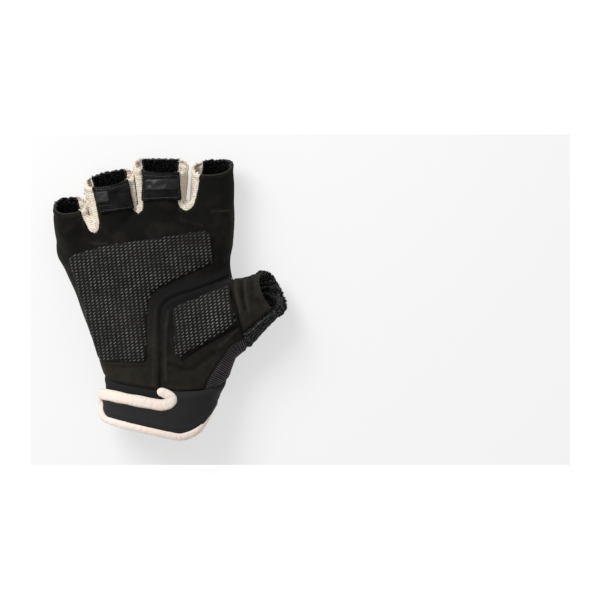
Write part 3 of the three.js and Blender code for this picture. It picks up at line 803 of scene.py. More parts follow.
@dataclass
class Skin:
    """The form's face as one fine mesh, scored along every seam and sorted into panels."""

    form: Form
    blade_half: float = 0.5
    pressed: float = 0.8
    bm: BMesh = field(init=False)
    panel_of: np.ndarray = field(init=False)

    def __post_init__(self) -> None:
        """Builds the mesh and sorts its faces."""
        whole = self.form.solid()
        blades = [
            prism("blade", cleft.blade(self.blade_half), -60, 90) for cleft in self.form.clefts.values()
        ]
        combine(whole, blades, "DIFFERENCE")
        remesh = {"mode": "VOXEL", "voxel_size": self.form.voxel, "adaptivity": 0.0}
        modified(whole, ("REMESH", remesh), ("SMOOTH", {"factor": 0.5, "iterations": 5}))
        places, low = places_of(whole.data), self.pressed
        places[:, 2] = np.where(places[:, 2] < low, low * np.exp((places[:, 2] - low) / low), places[:, 2])
        put_places(whole.data, places)
        self.bm = bmesh.new()
        self.bm.from_mesh(whole.data)
        discard(whole)
        strips = [Line(cleft.strip(0.0), closed=True) for cleft in self.form.clefts.values()]
        for measure in (
            self.form.past_rims, self.form.past_thumb, self.form.above_side_seam, self.form.above_cuff,
            self.form.thenar_seam.left, self.form.thumb_seam.left, self.form.knit_seam.left,
            self.form.thumb_front, *(strip.left for strip in strips)
        ):
            score(self.bm, measure)
        self.panel_of = self.sorted_faces(strips)

    def sorted_faces(self, strips: Sequence[Line]) -> np.ndarray:
        """Which panel each face belongs to.

        Args:
            strips: the outlines of the cream strips.

        Returns:
            A panel, or None where the form is open, for each face.
        """
        form, places = self.form, centres(self.bm)
        open_end = (form.past_rims(places) > 0) | (form.past_thumb(places) > 0)
        thumb = form.thumb_seam.left(places) > 0
        palm = (form.above_side_seam(places) > 0) & (form.knit_seam.left(places) < 0)
        thenar = form.thenar_seam.left(places) < 0
        front = form.thumb_front(places) > 0
        cuff = form.above_cuff(places) < 0
        panel = np.full(len(places), Panel.HAND_BACK, object)
        panel[palm] = Panel.PALM_MAIN
        panel[palm & thenar] = Panel.PALM_THENAR
        panel[thumb & front] = Panel.THUMB_FRONT
        panel[thumb & ~front] = Panel.THUMB_BACK
        for strip, name in zip(strips, (Panel.INDEX_MIDDLE, Panel.MIDDLE_RING, Panel.RING_LITTLE)):
            panel[strip.left(places) > 0] = name
        panel[cuff] = Panel.CUFF_BAND
        panel[open_end] = None
        return panel

    def rims(self, panel: Panel) -> list[tuple[Vector, Vector, Vector]]:
        """A panel's points along the openings, each with the way off the cloth and the way out.

        Args:
            panel: the panel.

        Returns:
            The points and their two ways.
        """
        self.bm.faces.index_update()
        found = []
        for edge in self.bm.edges:
            sides = [self.panel_of[face.index] for face in edge.link_faces]
            if len(sides) == 2 and None in sides and panel in sides:
                spot = (edge.verts[0].co + edge.verts[1].co) / 2
                if spot.y > -30 and spot.z > 9:
                    out = Vector((0, 1, 0)) if spot.y > THUMB_END else Vector((0.8, 0.4, 0.45))
                    found.append((spot, edge.link_faces[0].normal.copy(), out))
        return found

    def piece(self, panel: Panel) -> BMesh:
        """A copy of one panel's faces."""
        bm = self.bm.copy()
        keep_faces(bm, self.panel_of == panel)
        biggest_island(bm)
        return bm


def facing(normal: Vector) -> Matrix:
    """A turn that lays a shape on a face, with its X axis to the right as seen from above."""
    right = (Vector((1, 0, 0)) - normal * normal.x).normalized()
    return Matrix((right, normal.cross(right), normal)).transposed().to_4x4()


def grain(
    bm: BMesh, tree: BVHTree, place: Sequence[float], angle: float, size: Sequence[float]
) -> list[bmesh.types.BMVert]:
    """Lays a small rounded grain on a face.

    Args:
        bm: the mesh that it goes into.
        tree: the face.
        place: where it is, seen from above.
        angle: which way it points, in degrees.
        size: its three radii, in millimetres.

    Returns:
        Its points, none where there is no face.
    """
    spot, normal, _, _ = tree.ray_cast(Vector((place[0], place[1], 80)), Vector((0, 0, -1)))
    if spot is None:
        return []
    turn = facing(normal) @ Matrix.Rotation(math.radians(angle), 4, "Z") @ Matrix.Diagonal((*size, 1.0))
    matrix = Matrix.Translation(spot + normal * 0.02) @ turn
    return bmesh.ops.create_uvsphere(bm, u_segments=8, v_segments=5, radius=1.0, matrix=matrix)["verts"]


def stitches(
    name: str, tree: BVHTree, rows: Sequence[Sequence[tuple[float, float]]], pitch: float,
    size: Sequence[float]
) -> bpy.types.Object:
    """Sews rows of stitches on a face.

    Args:
        name: their name.
        tree: the face.
        rows: the lines that they follow, seen from above.
        pitch: how far apart they are, in millimetres.
        size: their three radii.

    Returns:
        The stitches as one object.
    """
    bm = bmesh.new()
    chance = random.Random(SEED)
    for row in rows:
        points = np.array(row, float)
        length = np.linalg.norm(np.diff(points, axis=0), axis=1).sum()
        line = spline(points, max(2, round(length / pitch)))
        for (x, y), (dx, dy) in zip(line, np.gradient(line, axis=0)):
            angle = math.degrees(math.atan2(dy, dx)) + chance.uniform(-14, 14)
            grain(bm, tree, (x + chance.uniform(-0.1, 0.1), y + chance.uniform(-0.1, 0.1)), angle, size)
    return to_object(name, bm)


def face_tree(obj: bpy.types.Object) -> BVHTree:
    """An object's face, for things to be laid on."""
    return BVHTree.FromPolygons(
        [vert.co for vert in obj.data.vertices], [face.vertices for face in obj.data.polygons]
    )


# Finishes


class Socket:
    """A shader value that can be used in arithmetic."""

    def __init__(self, shader: "Shader", output: bpy.types.NodeSocket) -> None:
        """Wraps an output."""
        self.shader = shader
        self.output = output

    def maths(self, operation: str, *values: "Socket | float") -> "Socket":
        """A Math node on some values."""
        inputs = dict(enumerate(values))
        return self.shader.node("ShaderNodeMath", {"operation": operation}, inputs)

    def __add__(self, other: "Socket | float") -> "Socket":
        """This plus another."""
        return self.maths("ADD", self, other)

    __radd__ = __add__

    def __sub__(self, other: "Socket | float") -> "Socket":
        """This less another."""
        return self.maths("SUBTRACT", self, other)

    def __rsub__(self, other: float) -> "Socket":
        """A number less this."""
        return self.maths("SUBTRACT", other, self)

    def __mul__(self, other: "Socket | float") -> "Socket":
        """This times another."""
        return self.maths("MULTIPLY", self, other)

    __rmul__ = __mul__

    def __truediv__(self, other: float) -> "Socket":
        """This over a number."""
        return self.maths("DIVIDE", self, other)

    def __pow__(self, power: float) -> "Socket":
        """This to a power."""
        return self.maths("POWER", self, power)

    def wave(self) -> "Socket":
        """The sine of this, from 0 to 1."""
        return self.maths("SINE", self) * 0.5 + 0.5

    def between(self, low: float, high: float) -> "Socket":
        """0 up to the low value and 1 from the high one, with a soft step from one to the other."""
        return self.shader.node(
            "ShaderNodeMapRange", {"interpolation_type": "SMOOTHSTEP"},
            {"Value": self, "From Min": low, "From Max": high}
        )


class Shader:
    """A material with one principled surface, and the nodes that feed it."""

    def __init__(self, name: str, **constants: float | Colour) -> None:
        """Starts the material.

        Args:
            name: its name.
            constants: the surface's plain values, with low lines for spaces.
        """
        self.material = bpy.data.materials.new(name)
        self.material.use_nodes = True
        self.tree = self.material.node_tree
        self.tree.nodes.clear()
        self.surface = self.tree.nodes.new("ShaderNodeBsdfPrincipled")
        output = self.tree.nodes.new("ShaderNodeOutputMaterial")
        self.tree.links.new(self.surface.outputs["BSDF"], output.inputs["Surface"])
        for socket, value in constants.items():
            self.feed(**{socket: value})

    def put(self, socket: bpy.types.NodeSocket, value: "Socket | float | Sequence[float]") -> None:
        """Gives a socket a link or a value."""
        if isinstance(value, Socket):
            self.tree.links.new(value.output, socket)
        elif isinstance(value, (int, float, str)) or len(value) == len(socket.default_value):
            socket.default_value = value
        else:
            socket.default_value = (*value, 1.0)

    def feed(self, **inputs: "Socket | float | Colour") -> None:
        """Gives the surface its inputs, with low lines for spaces."""
        for name, value in inputs.items():
            self.put(self.surface.inputs[name.replace("_", " ")], value)

    def node(
        self, kind: str, settings: dict[str, object],
        inputs: "dict[str | int, Socket | float | Sequence[float]]", output: str | int = 0
    ) -> Socket:
        """Adds a node.

        Args:
            kind: its type.
            settings: its own settings, which are set first.
            inputs: the values or links of its sockets.
            output: the output that is wanted.

        Returns:
            That output.
        """
        made = self.tree.nodes.new(kind)
        for name, value in settings.items():
            if name == "stops":
                for stop, (place, colour) in zip(made.color_ramp.elements, value):
                    stop.position = place
                    stop.color = (*colour, 1.0)
            else:
                setattr(made, name, value)
        for name, value in inputs.items():
            self.put(made.inputs[name], value)
        return Socket(self, made.outputs[output])

    def place(self) -> Socket:
        """The point's own place, in metres."""
        return self.node("ShaderNodeTexCoord", {}, {}, "Object")

    def axis(self, name: str) -> Socket:
        """The point's own place along one axis, in metres."""
        return self.node("ShaderNodeSeparateXYZ", {}, {"Vector": self.place()}, name)

    def read(self, name: str) -> Socket:
        """A number that the mesh carries."""
        return self.node("ShaderNodeAttribute", {"attribute_name": name}, {}, "Fac")

    def noise(self, size: float, detail: float = 2.0, stretch: Sequence[float] = (1, 1, 1)) -> Socket:
        """Cloudy unevenness."""
        place = self.node("ShaderNodeMapping", {}, {"Vector": self.place(), "Scale": stretch})
        inputs = {"Vector": place, "Scale": 1000 / size, "Detail": detail}
        return self.node("ShaderNodeTexNoise", {}, inputs, "Fac")

    def cells(self, size: float) -> Socket:
        """The distance to the nearest of scattered points, in parts of their spacing."""
        return self.node(
            "ShaderNodeTexVoronoi", {}, {"Vector": self.place(), "Scale": 1000 / size}, "Distance"
        )

    def blend(self, share: Socket, first: "Socket | Colour", second: "Socket | Colour") -> Socket:
        """Goes from one colour to another."""
        made = self.tree.nodes.new("ShaderNodeMix")
        made.data_type = "RGBA"
        self.put(made.inputs[0], share)
        self.put(made.inputs[6], first)
        self.put(made.inputs[7], second)
        return Socket(self, made.outputs[2])

    def finished(self, colour: Socket, rough: "Socket | float", height: Socket, depth: float) -> Material:
        """Gives the surface its colour and its relief.

        Args:
            colour: its colour.
            rough: its roughness.
            height: its relief, from 0 to 1.
            depth: what 1 stands for, in millimetres.

        Returns:
            The material.
        """
        inputs = {"Height": height, "Distance": depth * MM, "Strength": 1.0}
        normal = self.node("ShaderNodeBump", {}, inputs, "Normal")
        self.feed(Base_Color=colour, Roughness=rough, Normal=normal)
        return self.material


@dataclass(frozen=True)
class Suede:
    """Brushed synthetic suede, mottled where its nap has been stroked one way or the other; painted shade
    darkens its hollows and a painted highlight, mixed with wear, lightens its raised folds.
    """

    name: str
    bias: float = 0.0
    dark: Colour = (0.0048, 0.0048, 0.0043)
    light: Colour = (0.026, 0.0225, 0.0178)
    # A paler colour for the painted highlight and wear on raised folds, for the raw rims and for the flecks.
    worn: Colour = (0.042, 0.038, 0.032)
    smooth: Colour = (0.009, 0.0091, 0.01)
    reach: float = 0.12

    def material(self) -> Material:
        """The finish as a material."""
        shader = Shader(self.name, Sheen_Weight=0.05, Sheen_Roughness=0.5, Specular_IOR_Level=0.05)
        shader.feed(Sheen_Tint=(0.85, 0.75, 0.6))
        stroke = shader.noise(16.0, 3.0) * 0.6 + shader.noise(3.6, 4.0) * 0.4
        nap = shader.noise(0.5, 4.0)
        grain = shader.noise(0.22, 2.0)
        low = 0.5 - shader.axis("Y") / self.reach
        rise = shader.read("rise")
        # The tone is the nap's mottle, lighter towards the wrist, with painted shade where the face lies low
        # in a crease or hollow.
        brushed_up, clear_of_hollow_shade = stroke.between(0.34, 0.66), rise.between(-0.8, 0.1)
        tone = brushed_up * 0.45 + low * 0.8 + clear_of_hollow_shade * 0.45 - 0.72 + self.bias
        brushed = shader.blend(tone, self.dark, self.light)
        ground = shader.blend(shader.read("flat") * 0.8, brushed, self.smooth)
        raw = 1 - shader.read("rim").between(0.2, 0.9)
        # Paler where the face stands out: painted highlight mixed with rubbed wear on raised folds and seam
        # ridges; raw fibres pale the rims.
        worn = rise.between(0.12, 0.6) * nap.between(0.3, 0.7) * 0.7 + raw * 0.7
        colour = shader.blend(worn, ground, self.worn)
        speckle = shader.blend(grain.between(0.5, 0.75) * 0.16, colour, self.worn)
        return shader.finished(speckle, 0.85 + stroke * 0.15, nap * 0.6 + grain * 0.4, 0.2)


@dataclass(frozen=True)
class Knit:
    """Fine ribbed knit with a purplish cast, with painted highlight on its rib crests and painted shade in
    its grooves.
    """

    groove: Colour = (0.004, 0.0034, 0.004)
    crest: Colour = (0.1, 0.083, 0.091)
    pitch: float = 1.14

    def material(self) -> Material:
        """The finish as a material."""
        shader = Shader("ribbed_knit", Sheen_Weight=0.1, Sheen_Roughness=0.4, Specular_IOR_Level=0.1)
        shader.feed(Sheen_Tint=(0.9, 0.8, 0.88))
        across, along = shader.read("across"), shader.read("along")
        turns = 2 * math.pi / self.pitch
        rib = (across * turns).wave()
        stitch = (along * (2 * math.pi / 0.62) + across * turns * 0.5).wave()
        cloud = shader.noise(6.0, 3.0)
        share = rib.between(0.15, 1.0) * (0.7 + stitch * 0.25) * (0.55 + cloud * 0.7)
        # The ribs' pattern is the knit's own; their pale purplish crests and dark grooves are painted
        # highlight and painted shade.
        colour = shader.blend(share, self.groove, self.crest)
        return shader.finished(colour, 0.95 - rib * 0.15, rib * 0.75 + stitch * 0.25, 0.3)


@dataclass(frozen=True)
class Lining:
    """The cloth's looped inner face, which shows only in the openings, with painted shade deeper inside them.
    """

    deep: Colour = (0.0012, 0.0012, 0.0013)
    loop: Colour = (0.055, 0.055, 0.054)

    def material(self) -> Material:
        """The finish as a material."""
        shader = Shader("looped_inside", Sheen_Weight=0.02, Specular_IOR_Level=0.03)
        share = 1 - shader.cells(1.0).between(0.05, 0.6)
        fluff = shader.noise(0.4, 3.0)
        # Lighter within a few millimetres of the rim and darker further in: painted shade inside the
        # openings.
        near = 1 - shader.read("rim").between(0.8, 5.5) * 0.7
        colour = shader.blend(share * fluff * near * 1.3, self.deep, self.loop)
        return shader.finished(colour, 1.0, share, 0.5)


@dataclass(frozen=True)
class Terry:
    """Looped towelling in rows."""

    name: str
    deep: Colour = (0.004, 0.004, 0.0042)
    loop: Colour = (0.11, 0.113, 0.115)

    def material(self) -> Material:
        """The finish as a material."""
        shader = Shader(self.name, Sheen_Weight=0.08, Sheen_Roughness=0.5, Specular_IOR_Level=0.08)
        # Darker where the face sinks: on the towelling the rise follows its loops, so this is painted shade
        # between them.
        loops = shader.read("rise").between(-0.35, 0.3)
        fluff = 1 - shader.cells(0.75).between(0.1, 0.65)
        share = loops * 0.55 + fluff * 0.75 - 0.3
        return shader.finished(shader.blend(share, self.deep, self.loop), 1.0, share, 0.5)


@dataclass(frozen=True)
class CreamCloth:
    """Cream elastic cloth, darker where dirt and shade gather in its grooves."""

    name: str
    groove: Colour = (0.4, 0.345, 0.265)
    crest: Colour = (0.83, 0.765, 0.645)
    warm: Colour = (0.85, 0.75, 0.63)
    yarn: float = 0.85
    depth: float = 0.16
    fleck: float = 0.36

    def material(self) -> Material:
        """The finish as a material."""
        shader = Shader(self.name, Sheen_Weight=0.15, Sheen_Roughness=0.4, Specular_IOR_Level=0.2)
        yarn = shader.cells(self.yarn)
        fluff = shader.noise(0.25, 3.0)
        cloud = shader.noise(9.0, 2.0)
        rise = shader.read("rise")
        ground = shader.blend(cloud.between(0.35, 0.65), self.crest, self.warm)
        share = (1 - rise.between(-0.16, 0.1)) * 0.8 + yarn.between(0.25, 0.75) * self.fleck
        colour = shader.blend(share, ground, self.groove)
        weave = fluff * 0.4 + (1 - yarn) * 0.6
        return shader.finished(colour, 0.75 + fluff * 0.25, weave, self.depth)


@dataclass(frozen=True)
class StretchCloth:
    """Smooth stretch cloth with a fine twill."""

    name: str = "stretch_cloth"
    dark: Colour = (0.015, 0.0148, 0.015)
    light: Colour = (0.029, 0.0285, 0.029)

    def material(self) -> Material:
        """The finish as a material."""
        shader = Shader(self.name, Sheen_Weight=0.05, Sheen_Roughness=0.35, Specular_IOR_Level=0.12)
        across, along = shader.axis("X"), shader.axis("Y")
        warp = ((across + along * 0.6) * (2 * math.pi / (0.42 * MM))).wave()
        weft = ((across * 0.5 - along) * (2 * math.pi / (0.36 * MM))).wave()
        cloud = shader.noise(16.0, 3.0)
        lint = shader.noise(0.6, 4.0).between(0.6, 0.8)
        share = cloud * 0.65 + warp * weft * 0.35
        colour = shader.blend(share + lint * 0.25, self.dark, self.light)
        return shader.finished(colour, 0.72 + cloud * 0.2, warp * weft, 0.05)


@dataclass(frozen=True)
class Grip:
    """Raised silicone dashes with a painted highlight, paler and glossier where it is strong."""

    dull: Colour = (0.03, 0.03, 0.0285)
    # The colour of the dashes' painted highlight.
    rubbed: Colour = (0.2, 0.205, 0.2)

    def material(self) -> Material:
        """The finish as a material."""
        shader = Shader("grip_dashes", Specular_IOR_Level=0.35)
        cloud = shader.noise(7.0, 4.0)
        grain = shader.noise(0.3, 2.0)
        shade = shader.read("shade")
        # The pale colour is a painted highlight, mottled by the cloud and set for each dash by the number
        # that it carries.
        share = cloud.between(0.36, 0.64) * 0.45 + shade * 0.6
        colour = shader.blend(share, self.dull, self.rubbed)
        return shader.finished(colour, 0.62 - shade * 0.22, grain, 0.04)


@dataclass(frozen=True)
class PadCloth:
    """The smooth dark cloth that the dashes are printed on."""

    dark: Colour = (0.0055, 0.0055, 0.0052)
    light: Colour = (0.0165, 0.0155, 0.0138)

    def material(self) -> Material:
        """The finish as a material."""
        shader = Shader("pad_cloth", Sheen_Weight=0.04, Sheen_Roughness=0.5, Specular_IOR_Level=0.08)
        cloud = shader.noise(12.0, 3.0) * 0.7 + shader.noise(2.0, 3.0) * 0.3
        grain = shader.noise(0.25, 3.0)
        share = cloud.between(0.3, 0.7) * 0.6 + (0.5 - shader.axis("Y") / 0.12) * 0.4
        colour = shader.blend(share, self.dark, self.light)
        return shader.finished(colour, 0.9 + grain * 0.1, grain, 0.12)


@dataclass(frozen=True)
class Webbing:
    """Tightly woven tape."""

    dark: Colour = (0.0034, 0.0034, 0.0035)
    light: Colour = (0.023, 0.022, 0.0215)

    def material(self) -> Material:
        """The finish as a material."""
        shader = Shader("tab_webbing", Sheen_Weight=0.04, Sheen_Roughness=0.4, Specular_IOR_Level=0.12)
        across, along = shader.axis("X"), shader.axis("Y")
        warp = (across * (2 * math.pi / (0.7 * MM))).wave()
        weft = (along * (2 * math.pi / (0.5 * MM))).wave()
        cloud = shader.noise(7.0, 3.0)
        # Paler on the raised hem fold and foot: painted highlight mixed with rubbed wear.
        worn = shader.read("rise").between(0.25, 0.8)
        share = cloud.between(0.3, 0.7) * 0.5 + warp * weft * 0.3 + worn * 0.35 - 0.1
        return shader.finished(shader.blend(share, self.dark, self.light), 0.85, warp * weft, 0.12)


@dataclass(frozen=True)
class Rubber:
    """Moulded rubber with a dull gloss."""

    name: str
    colour: Colour
    rubbed: Colour
    rough: float

    def material(self) -> Material:
        """The finish as a material."""
        shader = Shader(self.name, Specular_IOR_Level=0.3)
        cloud = shader.noise(3.0, 4.0)
        grain = shader.noise(0.35, 2.0)
        colour = shader.blend(cloud.between(0.35, 0.7), self.colour, self.rubbed)
        return shader.finished(colour, self.rough + cloud * 0.25, cloud * 0.7 + grain * 0.3, 0.1)


@dataclass(frozen=True)
class Thread:
    """Twisted sewing thread."""

    dark: Colour = (0.025, 0.0215, 0.0215)
    light: Colour = (0.12, 0.103, 0.1)

    def material(self) -> Material:
        """The finish as a material."""
        shader = Shader("sewing_thread", Sheen_Weight=0.2, Specular_IOR_Level=0.3)
        twist = shader.noise(0.25, 1.0, (1, 3, 1))
        return shader.finished(shader.blend(twist, self.dark, self.light), 0.7, twist, 0.06)


@dataclass(frozen=True)
class Paper:
    """The pale ground that the glove lies on."""

    name: str
    colour: Colour
    glow: float

    def material(self) -> Material:
        """The finish as a material."""
        shader = Shader(self.name, Roughness=1.0, Specular_IOR_Level=0.0, Emission_Strength=self.glow)
        shader.feed(Emission_Color=(1.0, 1.0, 1.0))
        cloud = shader.noise(60.0, 2.0)
        paler = tuple(min(1.0, part * 1.01) for part in self.colour)
        shader.feed(Base_Color=shader.blend(cloud, self.colour, paler))
        return shader.material


@dataclass
class Wardrobe:
    """The finishes, each made once."""

    suede: Material = field(default_factory=Suede("palm_suede").material)
    thenar: Material = field(default_factory=Suede("thenar_suede", -0.16).material)
    thumb: Material = field(default_factory=Suede("thumb_suede", 0.3).material)
    knit: Material = field(default_factory=Knit().material)
    terry: Material = field(default_factory=Terry("terry_loops").material)
    frayed: Material = field(
        default_factory=Terry("frayed_loops", (0.002, 0.002, 0.002), (0.02, 0.02, 0.02)).material
    )
    lining: Material = field(default_factory=Lining().material)
    pad_cloth: Material = field(default_factory=PadCloth().material)
    cream: Material = field(default_factory=CreamCloth("cream_rib").material)
    tape: Material = field(
        default_factory=CreamCloth(
            "cream_tape", (0.5, 0.41, 0.34), (0.8, 0.71, 0.635), (0.84, 0.7, 0.63), 0.5, 0.08, 0.1
        ).material
    )
    stretch: Material = field(default_factory=StretchCloth().material)
    # The band is a darker copy of the stretch cloth: partly its own darker colour, partly painted shade under
    # the strap's tape.
    band: Material = field(
        default_factory=StretchCloth(
            "band_cloth", (0.0075, 0.0074, 0.0075), (0.0165, 0.016, 0.016)
        ).material
    )
    dashes: Material = field(default_factory=Grip().material)
    webbing: Material = field(default_factory=Webbing().material)
    glossy: Material = field(
        default_factory=Rubber(
            "glossy_rubber", (0.005, 0.0052, 0.0055), (0.014, 0.014, 0.014), 0.24
        ).material
    )
    dull: Material = field(
        default_factory=Rubber(
            "dull_rubber", (0.0045, 0.0043, 0.0043), (0.014, 0.0132, 0.013), 0.42
        ).material
    )
    thread: Material = field(default_factory=Thread().material)


def placed(
    obj: bpy.types.Object, finishes: Material | Sequence[Material], slot: str, *nodes: str
) -> bpy.types.Object:
    """Turns a piece to metres, gives it its finish and ties it to the frame.

    Args:
        obj: the piece, in millimetres.
        finishes: its material, or those of its outer and inner faces.
        slot: not used.
        nodes: the solids that it replaces.

    Returns:
        The piece.
    """
    obj.data.transform(Matrix.Scale(MM, 4))
    if isinstance(finishes, Material):
        obj.data.materials.clear()
        finishes = [finishes]
    for place, finish in enumerate(finishes):
        if place < len(obj.data.materials):
            obj.data.materials[place] = finish
        else:
            obj.data.materials.append(finish)
    obj.data.shade_smooth()
    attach(obj, "root")
    if nodes:
        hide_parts(*nodes)
    LOG.info("%s: %d faces", obj.name, len(obj.data.polygons))
    return obj


# Cloth


@dataclass(frozen=True)
class Crease:
    """A fold, where it is high, or a hollow, where it is low, along a line seen from above."""

    points: tuple[tuple[float, float], ...]
    width: float
    height: float
    palm: bool = True

    def lift(self, places: np.ndarray, normals: np.ndarray) -> np.ndarray:
        """How far it moves places out of the cloth's face."""
        line = Line(spline(self.points, 24) if len(self.points) > 2 else np.array(self.points, float))
        away, _ = line.measure(places)
        facing = normals[:, 2] if self.palm else -normals[:, 2]
        return self.height * bell(away, self.width) * smooth_step(facing / 0.5)


def from_edges(bm: BMesh, wanted: Callable[[np.ndarray], np.ndarray]) -> np.ndarray:
    """How far each point is from the nearest open edge of a kind.

    Args:
        bm: the mesh.
        wanted: from points on open edges to whether each is of that kind.

    Returns:
        A distance for each point, FAR where there is no such edge.
    """
    ends = [vert.co.copy() for vert in bm.verts if vert.is_boundary]
    ends += [(edge.verts[0].co + edge.verts[1].co) / 2 for edge in bm.edges if edge.is_boundary]
    chosen = [end for end, is_wanted in zip(ends, wanted(np.array(ends))) if is_wanted] if ends else []
    if not chosen:
        return np.full(len(bm.verts), FAR)
    tree = kdtree.KDTree(len(chosen))
    for i, end in enumerate(chosen):
        tree.insert(end, i)
    tree.balance()
    return np.array([tree.find(vert.co)[2] for vert in bm.verts])


@dataclass(frozen=True)
class Sewing:
    """How a panel is sewn: its wall, the tuck of its seams and the roll of its hems, in millimetres."""

    wall: float = 1.2
    tuck: float = 0.75
    width: float = 0.9
    plump: float = 0.18
    hem: float = 0.28
    ripple: float = 0.25
    swell: float = 0.0
    ragged: float = 0.15
    creases: tuple[Crease, ...] = ()
    seed: float = 1.0
    plump_at: float = 2.1
    hem_at: float = 1.7
    hem_end: float = 3.7
    hem_tuck: float = 0.2
    rim_tuck: float = 0.45


def frayed(places: np.ndarray, seed: float) -> np.ndarray:
    """How far a raw edge reaches out, for a reach of one."""
    return ruffle(places, 1.3, 1.0, seed) + ruffle(places, 5.0, 0.6, seed)


def sewn(form: Form, bm: BMesh, name: str, sewing: Sewing) -> bpy.types.Object:
    """Makes a panel of the form's face into cloth.

    Args:
        form: the form.
        bm: the panel's faces, which are freed.
        name: the piece's name.
        sewing: how it is sewn.

    Returns:
        The piece, in millimetres, with a number called rise that says how far its face stands out.
    """

    def at_rim(ends: np.ndarray) -> np.ndarray:
        """Whether points on open edges are at a finger's rim or the thumb's mouth."""
        return (np.abs(form.past_rims(ends)) < 0.15) | (np.abs(form.past_thumb(ends)) < 0.15)

    seam = from_edges(bm, lambda ends: ~at_rim(ends))
    rim = from_edges(bm, at_rim)
    cloth = to_object(name, bm)
    places, normals = places_of(cloth.data), normals_of(cloth.data)
    lift = -sewing.tuck * bell(seam, sewing.width) + sewing.plump * bell(seam - sewing.plump_at, 0.9)
    hem = sewing.hem * bell(rim - sewing.hem_at, 1.1) - sewing.rim_tuck * bell(rim, 0.5)
    lift += hem - sewing.hem_tuck * bell(rim - sewing.hem_end, 0.5)
    waves = ruffle(places, 9.0, sewing.ripple, sewing.seed)
    lift += waves + ruffle(places, 3.0, sewing.ripple * 0.25, sewing.seed)
    lift += sewing.swell * smooth_step(seam / 2.2)
    for crease in sewing.creases:
        lift += crease.lift(places, normals)
    moved = places + normals * lift[:, None]
    reach = sewing.ragged * frayed(places, sewing.seed) * bell(rim, 1.2)
    thumb = places[:, 1] < THUMB_END
    moved[:, 0] += np.where(thumb, 0.8, 0.0) * reach
    moved[:, 1] += np.where(thumb, 0.4, 1.0) * reach
    moved[:, 2] = np.maximum(moved[:, 2], 0.05)
    put_places(cloth.data, moved)
    remember(cloth.data, "rise", lift)
    remember(cloth.data, "rim", rim)
    cloth.data.materials.append(None)
    cloth.data.materials.append(None)
    wall = {"thickness": sewing.wall, "offset": -1.0, "material_offset": 1, "material_offset_rim": 0}
    return modified(cloth, ("SOLIDIFY", wall))


